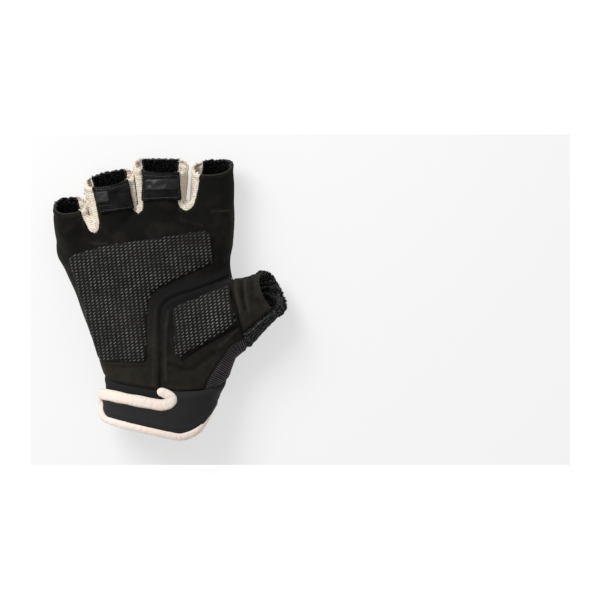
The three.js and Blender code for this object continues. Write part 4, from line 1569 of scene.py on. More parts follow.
@dataclass
class Hand:
    """The suede palm and thumb, the knit back and the terry behind the thumb."""

    form: Form
    skin: Skin
    wardrobe: Wardrobe
    palm_creases: tuple[Crease, ...] = (
        Crease(((34, 47), (25, 46.5)), 0.8, 0.5), Crease(((-48, 33), (-38, 34)), 3.0, -1.1),
        Crease(((-43, 40), (-40, 31), (-30, 29.5)), 1.2, 0.5),
        Crease(((-33, 44), (-22, 41), (-12, 42)), 3.2, -1.0), Crease(((-5, 45), (6, 44)), 3.0, -0.8),
        Crease(((8, 48), (10, 42), (20, 39.5)), 1.2, 0.4),
        Crease(((15, 60), (17, 50), (20, 44)), 2.2, -0.6),
        Crease(((-5.4, -44), (-5.2, -20), (-4.6, -4)), 1.2, 0.35),
        Crease(((-32, -34.6), (-20, -35), (-10, -34.6)), 1.0, -0.5)
    )
    thenar_creases: tuple[Crease, ...] = (
        Crease(((1.6, -42), (1.4, -20), (2.4, -6)), 0.9, 0.5),
        Crease(((4, -34), (14, -36), (26, -28)), 1.6, -0.5), Crease(((30, -24), (38, -16)), 1.4, 0.6),
        Crease(((39.2, -13.8), (24, -22.4), (10, -31.4)), 0.7, -0.8),
        Crease(((37.5, 8), (38.8, -8)), 0.9, 0.5)
    )
    knit_pitch: float = 1.14
    knit_rib: float = 0.14
    loop_pitch: float = 1.15
    wale_pitch: float = 1.9
    line_pitch: float = 1.0
    thumb_creases: tuple[Crease, ...] = (
        Crease(((37.4, 11), (38.6, 2), (40.4, -7)), 0.8, 0.9),
        Crease(((40.2, 12), (41.2, 3), (43, -5)), 0.7, -0.9),
        Crease(((42.4, 13), (43.2, 4), (45, -6)), 0.8, 0.7),
        Crease(((45.4, 13), (46.2, 5), (47, -3)), 1.0, -0.5),
        Crease(((51, 16), (52.6, 10), (55, 7)), 1.3, 0.6), Crease(((47, 1), (53, -1), (57, -2)), 2.2, -0.5)
    )

    def build(self) -> None:
        """Makes the panels."""
        wardrobe = self.wardrobe
        self.panel(Panel.PALM_MAIN, Sewing(creases=self.palm_creases, seed=2.0), wardrobe.suede)
        self.panel(Panel.PALM_THENAR, Sewing(creases=self.thenar_creases, seed=5.0), wardrobe.thenar)
        self.panel(Panel.THUMB_FRONT, Sewing(creases=self.thumb_creases, seed=8.0), wardrobe.thumb)
        back = self.skin.piece(Panel.HAND_BACK)
        self.refine_wrap(back)
        knit = sewn(self.form, back, "hand_back_knit", Sewing(ripple=0.3, ragged=0.7, seed=11.0))
        self.rule(knit)
        placed(knit, (wardrobe.knit, wardrobe.lining), "knit", "hand_back")
        self.towelling()

    def panel(self, panel: Panel, sewing: Sewing, finish: Material) -> None:
        """Makes one suede panel.

        Args:
            panel: the panel.
            sewing: how it is sewn.
            finish: its suede.
        """
        cloth = sewn(self.form, self.skin.piece(panel), panel.value + "_cloth", sewing)
        places = places_of(cloth.data)
        away = np.abs(self.form.thenar_seam.left(places))
        remember(cloth.data, "flat", smooth_step((7.0 - away) / 3.0) * smooth_step((30 + places[:, 1]) / 24))
        placed(cloth, (finish, self.wardrobe.lining), "suede", panel.value)

    def refine_wrap(self, bm: BMesh) -> None:
        """Makes the mesh finer where the knit comes round on to the palm side.

        Args:
            bm: the knit back.
        """
        bm.normal_update()
        middles, up = centres(bm), np.array([face.normal.z for face in bm.faces])
        near = (middles[:, 0] > 14) & (middles[:, 1] < -8) & (middles[:, 2] > 12) & (up > 0.25)
        faces = [face for face, wanted in zip(bm.faces, near) if wanted]
        edges = list({edge for face in faces for edge in face.edges})
        bmesh.ops.subdivide_edges(bm, edges=edges, cuts=2, use_grid_fill=True)

    def rule(self, knit: bpy.types.Object) -> None:
        """Gives the knit its ribs, which run across the back and turn with the seam on the palm side.

        Args:
            knit: the knit back.
        """
        places, normals = places_of(knit.data), normals_of(knit.data)
        away, along = self.form.knit_seam.measure(places)
        wrap = smooth_step((places[:, 1] + 4) / -6) * smooth_step((places[:, 0] - 8) / 8)
        wrap *= smooth_step((places[:, 2] - 5) / 8)
        aside = places[:, 0] - self.form.body.at("x", places[:, 1])
        round_side = places[:, 2] * np.sign(aside) * smooth_step((np.abs(aside) - 28) / 9)
        across = wrap * (9.5 - along) + (1 - wrap) * (0.9 * places[:, 1] + ruffle(places, 14.0, 0.4, 4.0))
        remember(knit.data, "across", across)
        remember(knit.data, "along", wrap * away + (1 - wrap) * (places[:, 0] + round_side))
        shown = wrap * smooth_step((places[:, 2] - 12) / 3) * smooth_step((normals[:, 2] - 0.3) / 0.2)
        rib = self.knit_rib * np.sin(2 * np.pi * across / self.knit_pitch) * shown
        put_places(knit.data, places + normals * rib[:, None])

    def towelling(self) -> None:
        """Makes the thumb's back with its wales and loops."""
        bm = self.skin.piece(Panel.THUMB_BACK)
        bmesh.ops.subdivide_edges(bm, edges=bm.edges[:], cuts=1, use_grid_fill=True)
        sewing = Sewing(wall=2.2, ripple=0.3, plump=0.4, hem=0.5, ragged=0.6, seed=14.0)
        terry = sewn(self.form, bm, "thumb_back_terry", sewing)
        places, normals = places_of(terry.data), normals_of(terry.data)
        away = [noise.voronoi(Vector(place) / self.loop_pitch)[0][0] for place in places]
        loops = 0.45 - np.array(away)
        wales = np.sin(2 * np.pi * self.form.thumb_front(places) / self.wale_pitch)
        across = places[:, 0] + 0.2 * places[:, 1] + ruffle(places, 7.0, 0.5, 6.0)
        lines = np.sin(2 * np.pi * across / self.line_pitch)
        shown = smooth_step((normals[:, 2] + 0.5) / 0.6)
        rise = shown * (0.5 * loops + 0.3 * wales) + (1 - shown) * (0.14 * loops + 0.07 * lines - 0.06)
        put_places(terry.data, places + normals * rise[:, None])
        remember(terry.data, "rise", rise)
        placed(terry, (self.wardrobe.terry, self.wardrobe.terry), "terry", "thumb_back")


@dataclass
class Fourchettes:
    """The cream ribbed strips between the fingers."""

    form: Form
    skin: Skin
    wardrobe: Wardrobe
    pitch: float = 1.12
    depth: float = 0.2
    swells: tuple[float, ...] = (0.1, 0.85, 0.2)
    closing: tuple[float, ...] = (0.0, 1.6, 0.3)

    def build(self) -> None:
        """Makes the three strips."""
        panels = (Panel.INDEX_MIDDLE, Panel.MIDDLE_RING, Panel.RING_LITTLE)
        strips = zip(panels, self.form.clefts.values(), self.swells, self.closing)
        for i, (panel, cleft, swell, closing) in enumerate(strips):
            bm = self.skin.piece(panel)
            bmesh.ops.subdivide_edges(bm, edges=bm.edges[:], cuts=1, use_grid_fill=True)
            sewing = Sewing(
                wall=1.0, tuck=0.45, width=0.5, plump=0.4, hem=0.6, ripple=0.5, swell=swell, ragged=0.9,
                seed=20.0 + i
            )
            strip = sewn(self.form, bm, panel.value + "_rib", sewing)
            self.close(strip, cleft, closing)
            self.rib(strip, cleft)
            placed(strip, (self.wardrobe.cream, self.wardrobe.cream), "cream", panel.value)

    def close(self, strip: bpy.types.Object, cleft: Cleft, most: float) -> None:
        """Brings the two faces in a gap together.

        Args:
            strip: the strip.
            cleft: the gap.
            most: how far a face moves.
        """
        places, normals = places_of(strip.data), normals_of(strip.data)
        root, way, side = cleft.axes()
        aside, along = (places[:, :2] - root) @ side, (places[:, :2] - root) @ way
        facing_gap = np.clip(-np.sign(aside) * (normals[:, :2] @ side), 0, 1)
        push = facing_gap * np.clip(np.abs(aside) - 0.15, 0, most) * smooth_step((along + 2) / 5)
        places[:, :2] -= (np.sign(aside) * push)[:, None] * side
        put_places(strip.data, places)

    def rib(self, strip: bpy.types.Object, cleft: Cleft) -> None:
        """Raises the strip's ribs.

        Args:
            strip: the strip.
            cleft: the gap that it lines.
        """
        places, normals = places_of(strip.data), normals_of(strip.data)
        root, way, _ = cleft.axes()
        along = (places[:, :2] - root) @ way
        wave = np.sin(2 * np.pi * (along + ruffle(places, 4.0, 0.4, 3.0)) / self.pitch)
        rise = self.depth * (0.5 + 0.5 * wave) ** 0.7 - self.depth
        lumps = ruffle(places, 1.0, 0.1, 7.0)
        put_places(strip.data, places + normals * (rise + lumps)[:, None])
        remember(strip.data, "rise", rise + self.depth * 0.6 + lumps)


@dataclass
class Frays:
    """Loops and loose ends that stick out along the open rims."""

    skin: Skin
    wardrobe: Wardrobe

    def build(self) -> None:
        """Makes the black and the cream frays."""
        black = {Panel.HAND_BACK: (0.8, 0.7, 11.0), Panel.THUMB_BACK: (0.9, 0.6, 14.0)}
        cream = {
            Panel.INDEX_MIDDLE: (1.0, 0.9, 20.0), Panel.MIDDLE_RING: (1.1, 0.9, 21.0),
            Panel.RING_LITTLE: (0.5, 0.9, 22.0)
        }
        self.fringe("rim_loops_black", black, 0.34, self.wardrobe.frayed, "terry")
        self.fringe("rim_loops_cream", cream, 0.38, self.wardrobe.cream, "cream")

    def fringe(
        self, name: str, panels: dict[Panel, tuple[float, float, float]], size: float,
        finish: Material, slot: str
    ) -> None:
        """Makes one piece of frays.

        Args:
            name: its name.
            panels: the panels whose rims it is on, how thickly, and their sewing's ragged and seed.
            size: the size of a loop, in millimetres.
            finish: its material.
            slot: not used.
        """
        chance = random.Random(SEED)
        bm = bmesh.new()
        for panel, (share, ragged, seed) in panels.items():
            for spot, normal, out in self.skin.rims(panel):
                reach = ragged * float(frayed(np.array([spot]), seed)[0])
                edge = spot + Vector((out.x, out.y, 0)) * reach
                for _ in range(int(share + chance.random())):
                    self.loop(bm, chance, edge - normal * chance.uniform(-0.1, 1.0), out, size)
        loops = to_object(name, bm)
        remember(loops.data, "rise", ruffle(places_of(loops.data), 0.8, 0.6, 1.0))
        placed(loops, finish, slot)

    def loop(self, bm: BMesh, chance: random.Random, spot: Vector, out: Vector, size: float) -> None:
        """Adds one loop or loose end.

        Args:
            bm: the frays.
            chance: what makes them differ.
            spot: where it grows.
            out: the way out of the opening.
            size: its size, in millimetres.
        """
        lean = Vector([chance.gauss(0, 0.5) for _ in range(3)])
        way = (out + lean).normalized()
        turn = way.to_track_quat("Z", "Y").to_matrix().to_4x4()
        if chance.random() < 0.25:
            long = size * chance.uniform(1.2, 2.4)
            matrix = Matrix.Translation(spot + way * long * 0.4) @ turn
            thin = size * 0.26
            bmesh.ops.create_cone(
                bm, cap_ends=True, segments=5, radius1=thin, radius2=thin * 0.4, depth=long, matrix=matrix
            )
            return
        scale = Matrix.Diagonal(
            (chance.uniform(0.5, 0.8), chance.uniform(0.5, 0.8), chance.uniform(0.8, 1.3), 1.0)
        )
        matrix = Matrix.Translation(spot + way * size * 0.3) @ turn @ scale
        bmesh.ops.create_icosphere(bm, subdivisions=1, radius=size, matrix=matrix)


@dataclass
class Overlay:
    """A sheet that lies on the palm side, cut to an outline seen from above."""

    skin: Skin
    outline: np.ndarray

    def base(self) -> tuple[BMesh, Line]:
        """The faces of the form that it covers, and its outline as a line."""
        line = Line(self.outline, closed=True)
        bm = self.skin.bm.copy()
        middles = centres(bm)
        low, high = self.outline.min(0) - 2, self.outline.max(0) + 2
        near = ((middles[:, :2] > low) & (middles[:, :2] < high)).all(1)
        up = np.array([face.normal.z > 0.05 for face in bm.faces])
        keep_faces(bm, near & up & np.not_equal(self.skin.panel_of, None))
        score(bm, line.left)
        keep_faces(bm, line.left(centres(bm)) > 0)
        biggest_island(bm)
        return bm, line

    def raised(
        self, name: str, low: float, height: Callable[[np.ndarray, np.ndarray], np.ndarray]
    ) -> bpy.types.Object:
        """A closed body on the face.

        Args:
            name: its name.
            low: how far above the face its underside is.
            height: from places and their distance from the outline to the height of its top.

        Returns:
            The body, with a number called rise.
        """
        bm, line = self.base()
        body = to_object(name, bm)
        floor, out = places_of(body.data), normals_of(body.data)
        top = height(floor, line.left(floor))
        modified(body, ("SOLIDIFY", {"thickness": 1.0, "offset": 0.0}))
        both = places_of(body.data)
        half = len(floor)
        first_is_top = ((both[:half] - floor) * out).sum() > 0
        levels = (top, np.full(half, low)) if first_is_top else (np.full(half, low), top)
        put_places(body.data, np.vstack([floor + out * level[:, None] for level in levels]))
        remember(body.data, "rise", np.concatenate([level - top.mean() for level in levels]))
        return body


@dataclass
class GripPad:
    """A padded patch under a print of slanted dashes."""

    skin: Skin
    wardrobe: Wardrobe
    name: str
    corners: Corners
    shine: Callable[[np.ndarray], np.ndarray]
    slope: float = 0.06
    rise: float = 1.9
    edge: float = 2.6
    swell: float = 0.35
    lean: float = 0.12
    column: float = 2.3
    row: float = 1.62
    inset: float = 0.25
    dash: tuple[float, float, float] = (0.98, 0.28, 0.26)
    slant: float = 41.0
    voxel: float = 0.62
    cloth_scale: float = 0.01
    pressure: float = 4.0
    frames: int = 20

    def build(self) -> None:
        """Makes the pad and its dashes."""
        outline = rounded(self.corners)
        line = Line(outline, closed=True)

        def height(places: np.ndarray, away: np.ndarray) -> np.ndarray:
            """The pad's soft edge and its quilted top."""
            soft = smooth_step((away + 0.1) / self.edge) ** 0.8
            return 0.25 + self.rise * soft + ruffle(places, 12.0, 0.2, 4.0) * soft

        pad = Overlay(self.skin, outline).raised(self.name + "_pad", 0.2, height)
        self.inflate(pad, line)
        self.print_dashes(face_tree(pad), line)
        placed(pad, self.wardrobe.pad_cloth, "grip", self.name)

    def inflate(self, pad: bpy.types.Object, line: Line) -> None:
        """Blows the pad up as cloth, held along its sewn edge.

        Args:
            pad: the pad.
            line: its outline.
        """
        remesh = {"mode": "VOXEL", "voxel_size": self.voxel}
        modified(pad, ("REMESH", remesh), ("SMOOTH", {"iterations": 2}))
        start = places_of(pad.data)
        held = (line.left(start) < 1.0) | (normals_of(pad.data)[:, 2] < 0)
        group = pad.vertex_groups.new(name="sewn")
        group.add(np.flatnonzero(held).tolist(), 1.0, "REPLACE")
        pad.data.transform(Matrix.Scale(self.cloth_scale, 4))
        cloth = pad.modifiers.new("cloth", "CLOTH")
        cloth.settings.quality = 4
        cloth.settings.use_pressure = True
        cloth.settings.uniform_pressure_force = self.pressure
        cloth.settings.effector_weights.gravity = 0.0
        cloth.settings.vertex_group_mass = "sewn"
        cloth.point_cache.frame_start, cloth.point_cache.frame_end = 1, self.frames
        scene = bpy.context.scene
        for frame_number in range(1, self.frames + 1):
            scene.frame_set(frame_number)
        seen = pad.evaluated_get(bpy.context.evaluated_depsgraph_get())
        blown = places_of(seen.to_mesh()) / self.cloth_scale
        pad.modifiers.clear()
        pad.vertex_groups.clear()
        scene.frame_set(1)
        move = blown - start
        far = np.linalg.norm(move, axis=1)
        share = np.minimum(1.0, self.swell / np.maximum(far, 1e-6))
        pad.data.transform(Matrix.Scale(1 / self.cloth_scale, 4))
        put_places(pad.data, start + move * share[:, None])
        LOG.info("%s swells by %.2f mm", pad.name, float(np.minimum(far, self.swell).max()))

    def print_dashes(self, tree: BVHTree, line: Line) -> None:
        """Lays the dashes on the pad.

        Args:
            tree: the pad's face.
            line: its outline.
        """
        low, high = line.points.min(0), line.points.max(0)
        rows = np.arange(low[1] - 12, high[1] + 12, self.row)
        chance = random.Random(SEED)
        whole = bmesh.new()
        for x in np.arange(low[0] - 10, high[0] + 10, self.column):
            sites = np.stack([x - self.lean * rows, rows + self.slope * (x - low[0])], axis=1)
            column = self.print_column(tree, sites, line.left(sites), chance)
            whole.from_mesh(column)
            bpy.data.meshes.remove(column)
        placed(to_object(self.name + "_dashes", whole), self.wardrobe.dashes, "grip")

    def print_column(
        self, tree: BVHTree, sites: np.ndarray, inside: np.ndarray, chance: random.Random
    ) -> bpy.types.Mesh:
        """Lays one column of dashes.

        Args:
            tree: the pad's face.
            sites: their places, seen from above.
            inside: how far inside the outline they are.
            chance: small differences between them.

        Returns:
            The column's mesh, with a number on each dash that sets its painted highlight.
        """
        bm = bmesh.new()
        shade = bm.verts.layers.float.new("shade")
        for site, away, shine in zip(sites, inside, self.shine(sites)):
            if away < self.inset:
                continue
            place = (site[0] + chance.uniform(-0.08, 0.08), site[1] + chance.uniform(-0.08, 0.08))
            size = [part * chance.uniform(0.85, 1.1) for part in self.dash]
            made = grain(bm, tree, place, self.slant + chance.uniform(-6, 6), size)
            # Dashes near the outline get less of the painted highlight.
            fade = min(1.0, 0.6 + 0.3 * (away - self.inset))
            value = min(1.0, max(0.0, shine * fade + chance.uniform(-0.15, 0.15)))
            for vert in made:
                vert[shade] = value
        mesh = bpy.data.meshes.new("column")
        bm.to_mesh(mesh)
        bm.free()
        return mesh


def palm_shine(sites: np.ndarray) -> np.ndarray:
    """How much painted highlight the palm pad's dashes get, least at its upper right."""
    return 0.26 - 0.24 * smooth_step((sites[:, 0] + 16) / 34) * smooth_step((sites[:, 1] - 2) / 24)


def thenar_shine(sites: np.ndarray) -> np.ndarray:
    """How much painted highlight the thenar pad's dashes get, most in a band down its right half."""
    return 0.3 + 0.6 * bell(sites[:, 0] - 26, 6.0)


@dataclass
class PullTab:
    """A folded pull-off tab with its moulded patch."""

    skin: Skin
    form: Form
    wardrobe: Wardrobe
    name: str
    limb: Limb
    corners: Corners
    patch_name: str
    patch: Corners
    patch_finish: Material
    seams: tuple[tuple[tuple[float, float], ...], ...]
    hem: float = 4.0
    stitch_pitch: float = 1.15
    stitch: tuple[float, float, float] = (0.4, 0.17, 0.16)

    def build(self) -> None:
        """Makes the tab and the patch."""
        stall = self.form.stalls[self.limb]

        def height(places: np.ndarray, away: np.ndarray) -> np.ndarray:
            """The folded hem at the rim, and the flat band under it."""
            aside = stall.slope * (places[:, 0] - stall.rows[-2].x)
            down = stall.palm - places[:, 1] + aside + 0.3 * (places[:, 2] - 24)
            fold = 0.35 * smooth_step((self.hem - down) / 0.7 + 0.5) - 0.3 * bell(down - self.hem - 0.6, 0.45)
            foot = 0.35 * bell(away - 0.9, 0.6)
            soft = smooth_step((away + 0.05) / 0.8) ** 0.6
            return 0.25 + (1.05 + fold + foot + ruffle(places, 3.5, 0.22, 9.0)) * soft

        tab = Overlay(self.skin, rounded(self.corners)).raised(self.name + "_fold", 0.15, height)
        sewing = stitches(
            self.name + "_stitches", face_tree(tab), self.seams, self.stitch_pitch, self.stitch
        )
        placed(sewing, self.wardrobe.thread, "webbing")
        placed(tab, self.wardrobe.webbing, "webbing", self.name)

        def print_height(places: np.ndarray, away: np.ndarray) -> np.ndarray:
            """The patch's rounded edge and its shallow waves."""
            return 0.9 + 1.3 * smooth_step((away + 0.1) / 0.8) ** 0.5 + ruffle(places, 2.4, 0.3, 3.0)

        patch = Overlay(self.skin, rounded(self.patch)).raised(self.patch_name + "_rubber", 0.8, print_height)
        placed(patch, self.patch_finish, "rubber_patch", self.patch_name)


@dataclass
class Cuff:
    """The stretch cuff, the strap over it and the cream tapes round them."""

    form: Form
    skin: Skin
    wardrobe: Wardrobe
    wall: float = 1.2
    strap_lift: float = 2.0
    strap_start: float = -7.0
    strap_end: float = 183.0
    strap_middle: float = -52.0
    seam_gap: float = 0.4
    lapped: float = 50.0
    band_start: float = 66.0
    band_end: float = 354.0
    slit_y: float = -55.2
    slit_rise: float = -0.19
    strap_corner: tuple[float, float] = (2.8, -51.6)
    hook: Corners = (
        (-1.0, -54.9, 3.0), (2.6, -54.1, 2.9), (4.3, -52.1, 2.7), (3.1, -50.1, 2.6), (0.4, -48.6, 2.5),
        (-2.8, -47.4, 2.2)
    )
    tape_half: float = 3.0
    lower_half: float = 1.9
    tape_thick: float = 1.35
    tape_square: float = 2.6
    tape_end: float = 2.4
    stitch_at: float = 0.62
    stitch_pitch: float = 1.9
    stitch_deep: float = 0.26
    tape_sides: int = 28
    tape_faces: int = 420
    strap_sides: int = 46
    strap_faces: int = 260

    def build(self) -> None:
        """Makes the band, the strap and the tapes."""
        self.band()
        self.strap()
        self.tapes()

    def mouth(self, angle: np.ndarray) -> np.ndarray:
        """How far along the arm the cuff's edge is, at an angle round the wrist."""
        return self.form.mouth.at("v", np.where(angle > 270, angle - 360, angle))

    def lift(self, angle: np.ndarray) -> np.ndarray:
        """How far out the strap lies, at an angle round the wrist."""
        wide = np.where(angle > 270, angle - 360, angle)
        return np.where(wide > 200, self.strap_lift, self.strap_lift * smooth_step(wide / self.lapped))

    def slit(self, x: np.ndarray | float) -> np.ndarray | float:
        """The middle of the tape along the strap's upper edge."""
        return self.slit_y + self.slit_rise * x

    def band(self) -> None:
        """Makes the cuff that goes round the back and under the strap."""
        bm = self.skin.piece(Panel.CUFF_BAND)

        def inside(places: np.ndarray) -> np.ndarray:
            """How far places are above the mouth's edge."""
            return places[:, 1] - self.mouth(self.form.angle(places)) - self.seam_gap

        score(bm, inside)
        middles = centres(bm)
        angle = self.form.angle(middles)
        turned = np.where(angle < -6, angle + 360, angle)
        kept = (inside(middles) > 0) & (turned > self.band_start - 22) & (turned < self.band_end + 8)
        keep_faces(bm, kept)
        biggest_island(bm)
        cloth = sewn(self.form, bm, "cuff_band_cloth", Sewing(tuck=0.6, ripple=0.35, seed=31.0))
        placed(cloth, (self.wardrobe.band, self.wardrobe.lining), "stretch_cloth", "cuff_band")

    def strap(self) -> None:
        """Makes the strap across the palm side of the wrist."""
        middle = self.form.angle_at(*self.strap_corner)

        def place(u: np.ndarray, v: np.ndarray) -> np.ndarray:
            """Points of the strap's face."""
            angle = self.strap_start + (self.strap_end - self.strap_start) * u
            low = self.mouth(angle)
            x = self.form.wrist(angle, np.full_like(angle, self.strap_middle), 0.0)[:, 0]
            seam = self.form.cuff_top.at("v", angle) + self.seam_gap
            share = smooth_step((angle - middle + 1.5) / 3)
            high = seam * (1 - share) + self.slit(x) * share
            y = low + (high - low) * v
            edge = np.minimum(v, 1 - v) * (high - low)
            out = self.lift(angle) - 1.5 * bell(edge, 1.3) * (1 - share) * (v > 0.5)
            out = out + 0.25 * bell(edge - 3.4, 1.2)
            return self.form.wrist(angle, y, out)

        bm = bmesh.new()
        sheet_mesh(bm, self.strap_faces, self.strap_sides, place)
        bmesh.ops.recalc_face_normals(bm, faces=bm.faces[:])
        cloth = to_object("closure_strap_cloth", bm)
        places, normals = places_of(cloth.data), normals_of(cloth.data)
        centre = np.array([0.0, -55.0, 17.0])
        if ((places - centre) * normals).sum() < 0:
            cloth.data.flip_normals()
            normals = -normals
        rise = ruffle(places, 8.0, 0.3, 2.0) + ruffle(places, 2.5, 0.05, 5.0)
        put_places(cloth.data, places + normals * rise[:, None])
        modified(cloth, ("SOLIDIFY", {"thickness": self.wall, "offset": -1.0}))
        placed(cloth, self.wardrobe.stretch, "stretch_cloth", "closure_strap")

    def strap_path(self) -> list[tuple[float, ...]]:
        """What the strap's tape follows: angle, place along the arm, half width and half thickness."""
        wide, thick, narrow, end = self.tape_half, self.tape_thick, self.lower_half, self.strap_end

        def edge(angle: float) -> float:
            """The middle of the tape along the cuff's edge."""
            return float(self.mouth(np.array([angle]))[0]) - 0.9

        lower = [(-5.0, edge(-5) + 0.7, 2.6, thick), (6.0, edge(6) + 0.3, 2.2, thick)]
        lower += [
            (float(angle), edge(angle), narrow, thick) for angle in (18, 35, 55, 75, 95, 115, 135, 152, 165)
        ]
        turn = [
            (175.0, edge(175) + 1.6, narrow + 0.7, thick + 0.4),
            (end - 1, edge(end) + 4.6, wide, thick + 0.6), (end, -53.6, wide, thick + 0.6),
            (end - 2.5, -50.6, wide, thick + 0.5), (end - 9, self.slit(-29.0), wide, thick + 0.2)
        ]
        upper = [(x, self.slit(x), wide) for x in (-27, -22, -16, -10, -5)]
        seen = [(self.form.angle_at(x, y), y, half, thick) for x, y, half in (*upper, *self.hook)]
        return [*lower, *turn, *seen]

    def strap_tape_level(self, angle: np.ndarray) -> np.ndarray:
        """How far out the middle of the strap's tape lies; it goes under the edge at the thumb's side."""
        start = smooth_step((angle + 6) / 12)
        under = 0.5 + start * (1.1 - 1.6 * smooth_step((angle - 8) / 34))
        return self.lift(angle) - 0.3 - under + 0.8 * smooth_step((angle - 158) / 16)

    def cuff_tape_level(self, angle: np.ndarray) -> np.ndarray:
        """How far out the middle of the cuff's tape lies; it goes in under the strap."""
        return -1.55 + 0.75 * smooth_step((angle - 190) / 25)

    def tapes(self) -> None:
        """Makes the tape round the strap and the tape along the cuff's edge."""
        self.tape("strap_binding", self.strap_path(), self.strap_tape_level, 1.0)
        angles = np.linspace(self.band_start, self.band_end, 24)
        rise = 1.2 * np.where(angles < 180, 1.0, smooth_step((200 - angles) / 20))
        size = np.full_like(angles, 2.7), np.full_like(angles, self.tape_thick)
        path = list(zip(angles, self.mouth(angles) + rise, *size))
        self.tape("cuff_binding", path, self.cuff_tape_level, 2.0)

    def tape(self, name: str, path: Sequence[tuple[float, ...]], offset: Measure, seed: float) -> None:
        """Sweeps a plump folded tape along a path on the wrist.

        Args:
            name: the solid that it replaces.
            path: angle, place along the arm, half width and half thickness at the points that it follows.
            offset: from angles to how far out its middle lies.
            seed: moves its wrinkles.
        """
        count = self.tape_faces
        line = spline(path, count + 1)
        middle = self.form.wrist(line[:, 0], line[:, 1], offset(line[:, 0]))
        way = unit(np.gradient(middle, axis=0))
        turn, step = np.zeros_like(line), np.zeros_like(line)
        turn[:, 0], step[:, 1] = 1.0, 1.0
        around = self.at_wrist(line + turn) - self.at_wrist(line - turn)
        along = self.at_wrist(line + step) - self.at_wrist(line - step)
        out = unit(np.cross(along, around))
        side = unit(np.cross(out, way))
        lengths = lengths_of(middle)
        total = lengths[-1]

        def place(u: np.ndarray, t: np.ndarray) -> np.ndarray:
            """Points of the tape's face, with rounded ends and a line of stitches."""
            i = np.clip(np.round(t * count).astype(int), 0, count)
            s, half, thick = lengths[i], line[i, 2], line[i, 3]
            short = (1 - np.minimum(s, total - s) / self.tape_end).clip(0)
            end = np.sqrt(np.clip(1 - short**2, 0.05, 1))
            angle = 2 * np.pi * (u % 1.0)
            c, sn = np.cos(angle), np.sin(angle)
            power = 2 / self.tape_square
            across = np.sign(c) * np.abs(c) ** power * half
            up = np.sign(sn) * np.abs(sn) ** power * thick
            wobble = np.array([noise.noise(Vector((d / 7, seed * 5, 0))) for d in s])
            pucker = np.array([noise.noise(Vector((d / 1.6, a * 0.9, seed))) for d, a in zip(s, angle)])
            across = across * (1 + 0.07 * wobble)
            up = up * (1 + 0.14 * pucker)
            holes = 0.7 + 0.3 * np.sin(2 * np.pi * s / self.stitch_pitch)
            sewn_line = bell(across - half * self.stitch_at, 0.35) * holes
            up = up - self.stitch_deep * sewn_line * (sn > 0)
            return middle[i] + side[i] * (across * end)[:, None] + out[i] * (up * end)[:, None]

        bm = bmesh.new()
        sheet_mesh(bm, self.tape_sides, count, place, closed=True)
        tape = to_object(name + "_tape", bm)
        # The tape's sides, where it rolls away from its middle, get the darker groove colour: painted shade
        # on its rolled edges.
        turned = np.abs((places_of(tape.data)[:, None, :2] - middle[None, ::8, :2])).sum(2).min(1)
        remember(tape.data, "rise", 0.1 - 0.12 * smooth_step((turned - self.tape_half * 0.75) / 0.8))
        placed(tape, self.wardrobe.tape, "cream", name)

    def at_wrist(self, line: np.ndarray) -> np.ndarray:
        """Points of the wrist's bare face."""
        return self.form.wrist(line[:, 0], line[:, 1], 0.0)


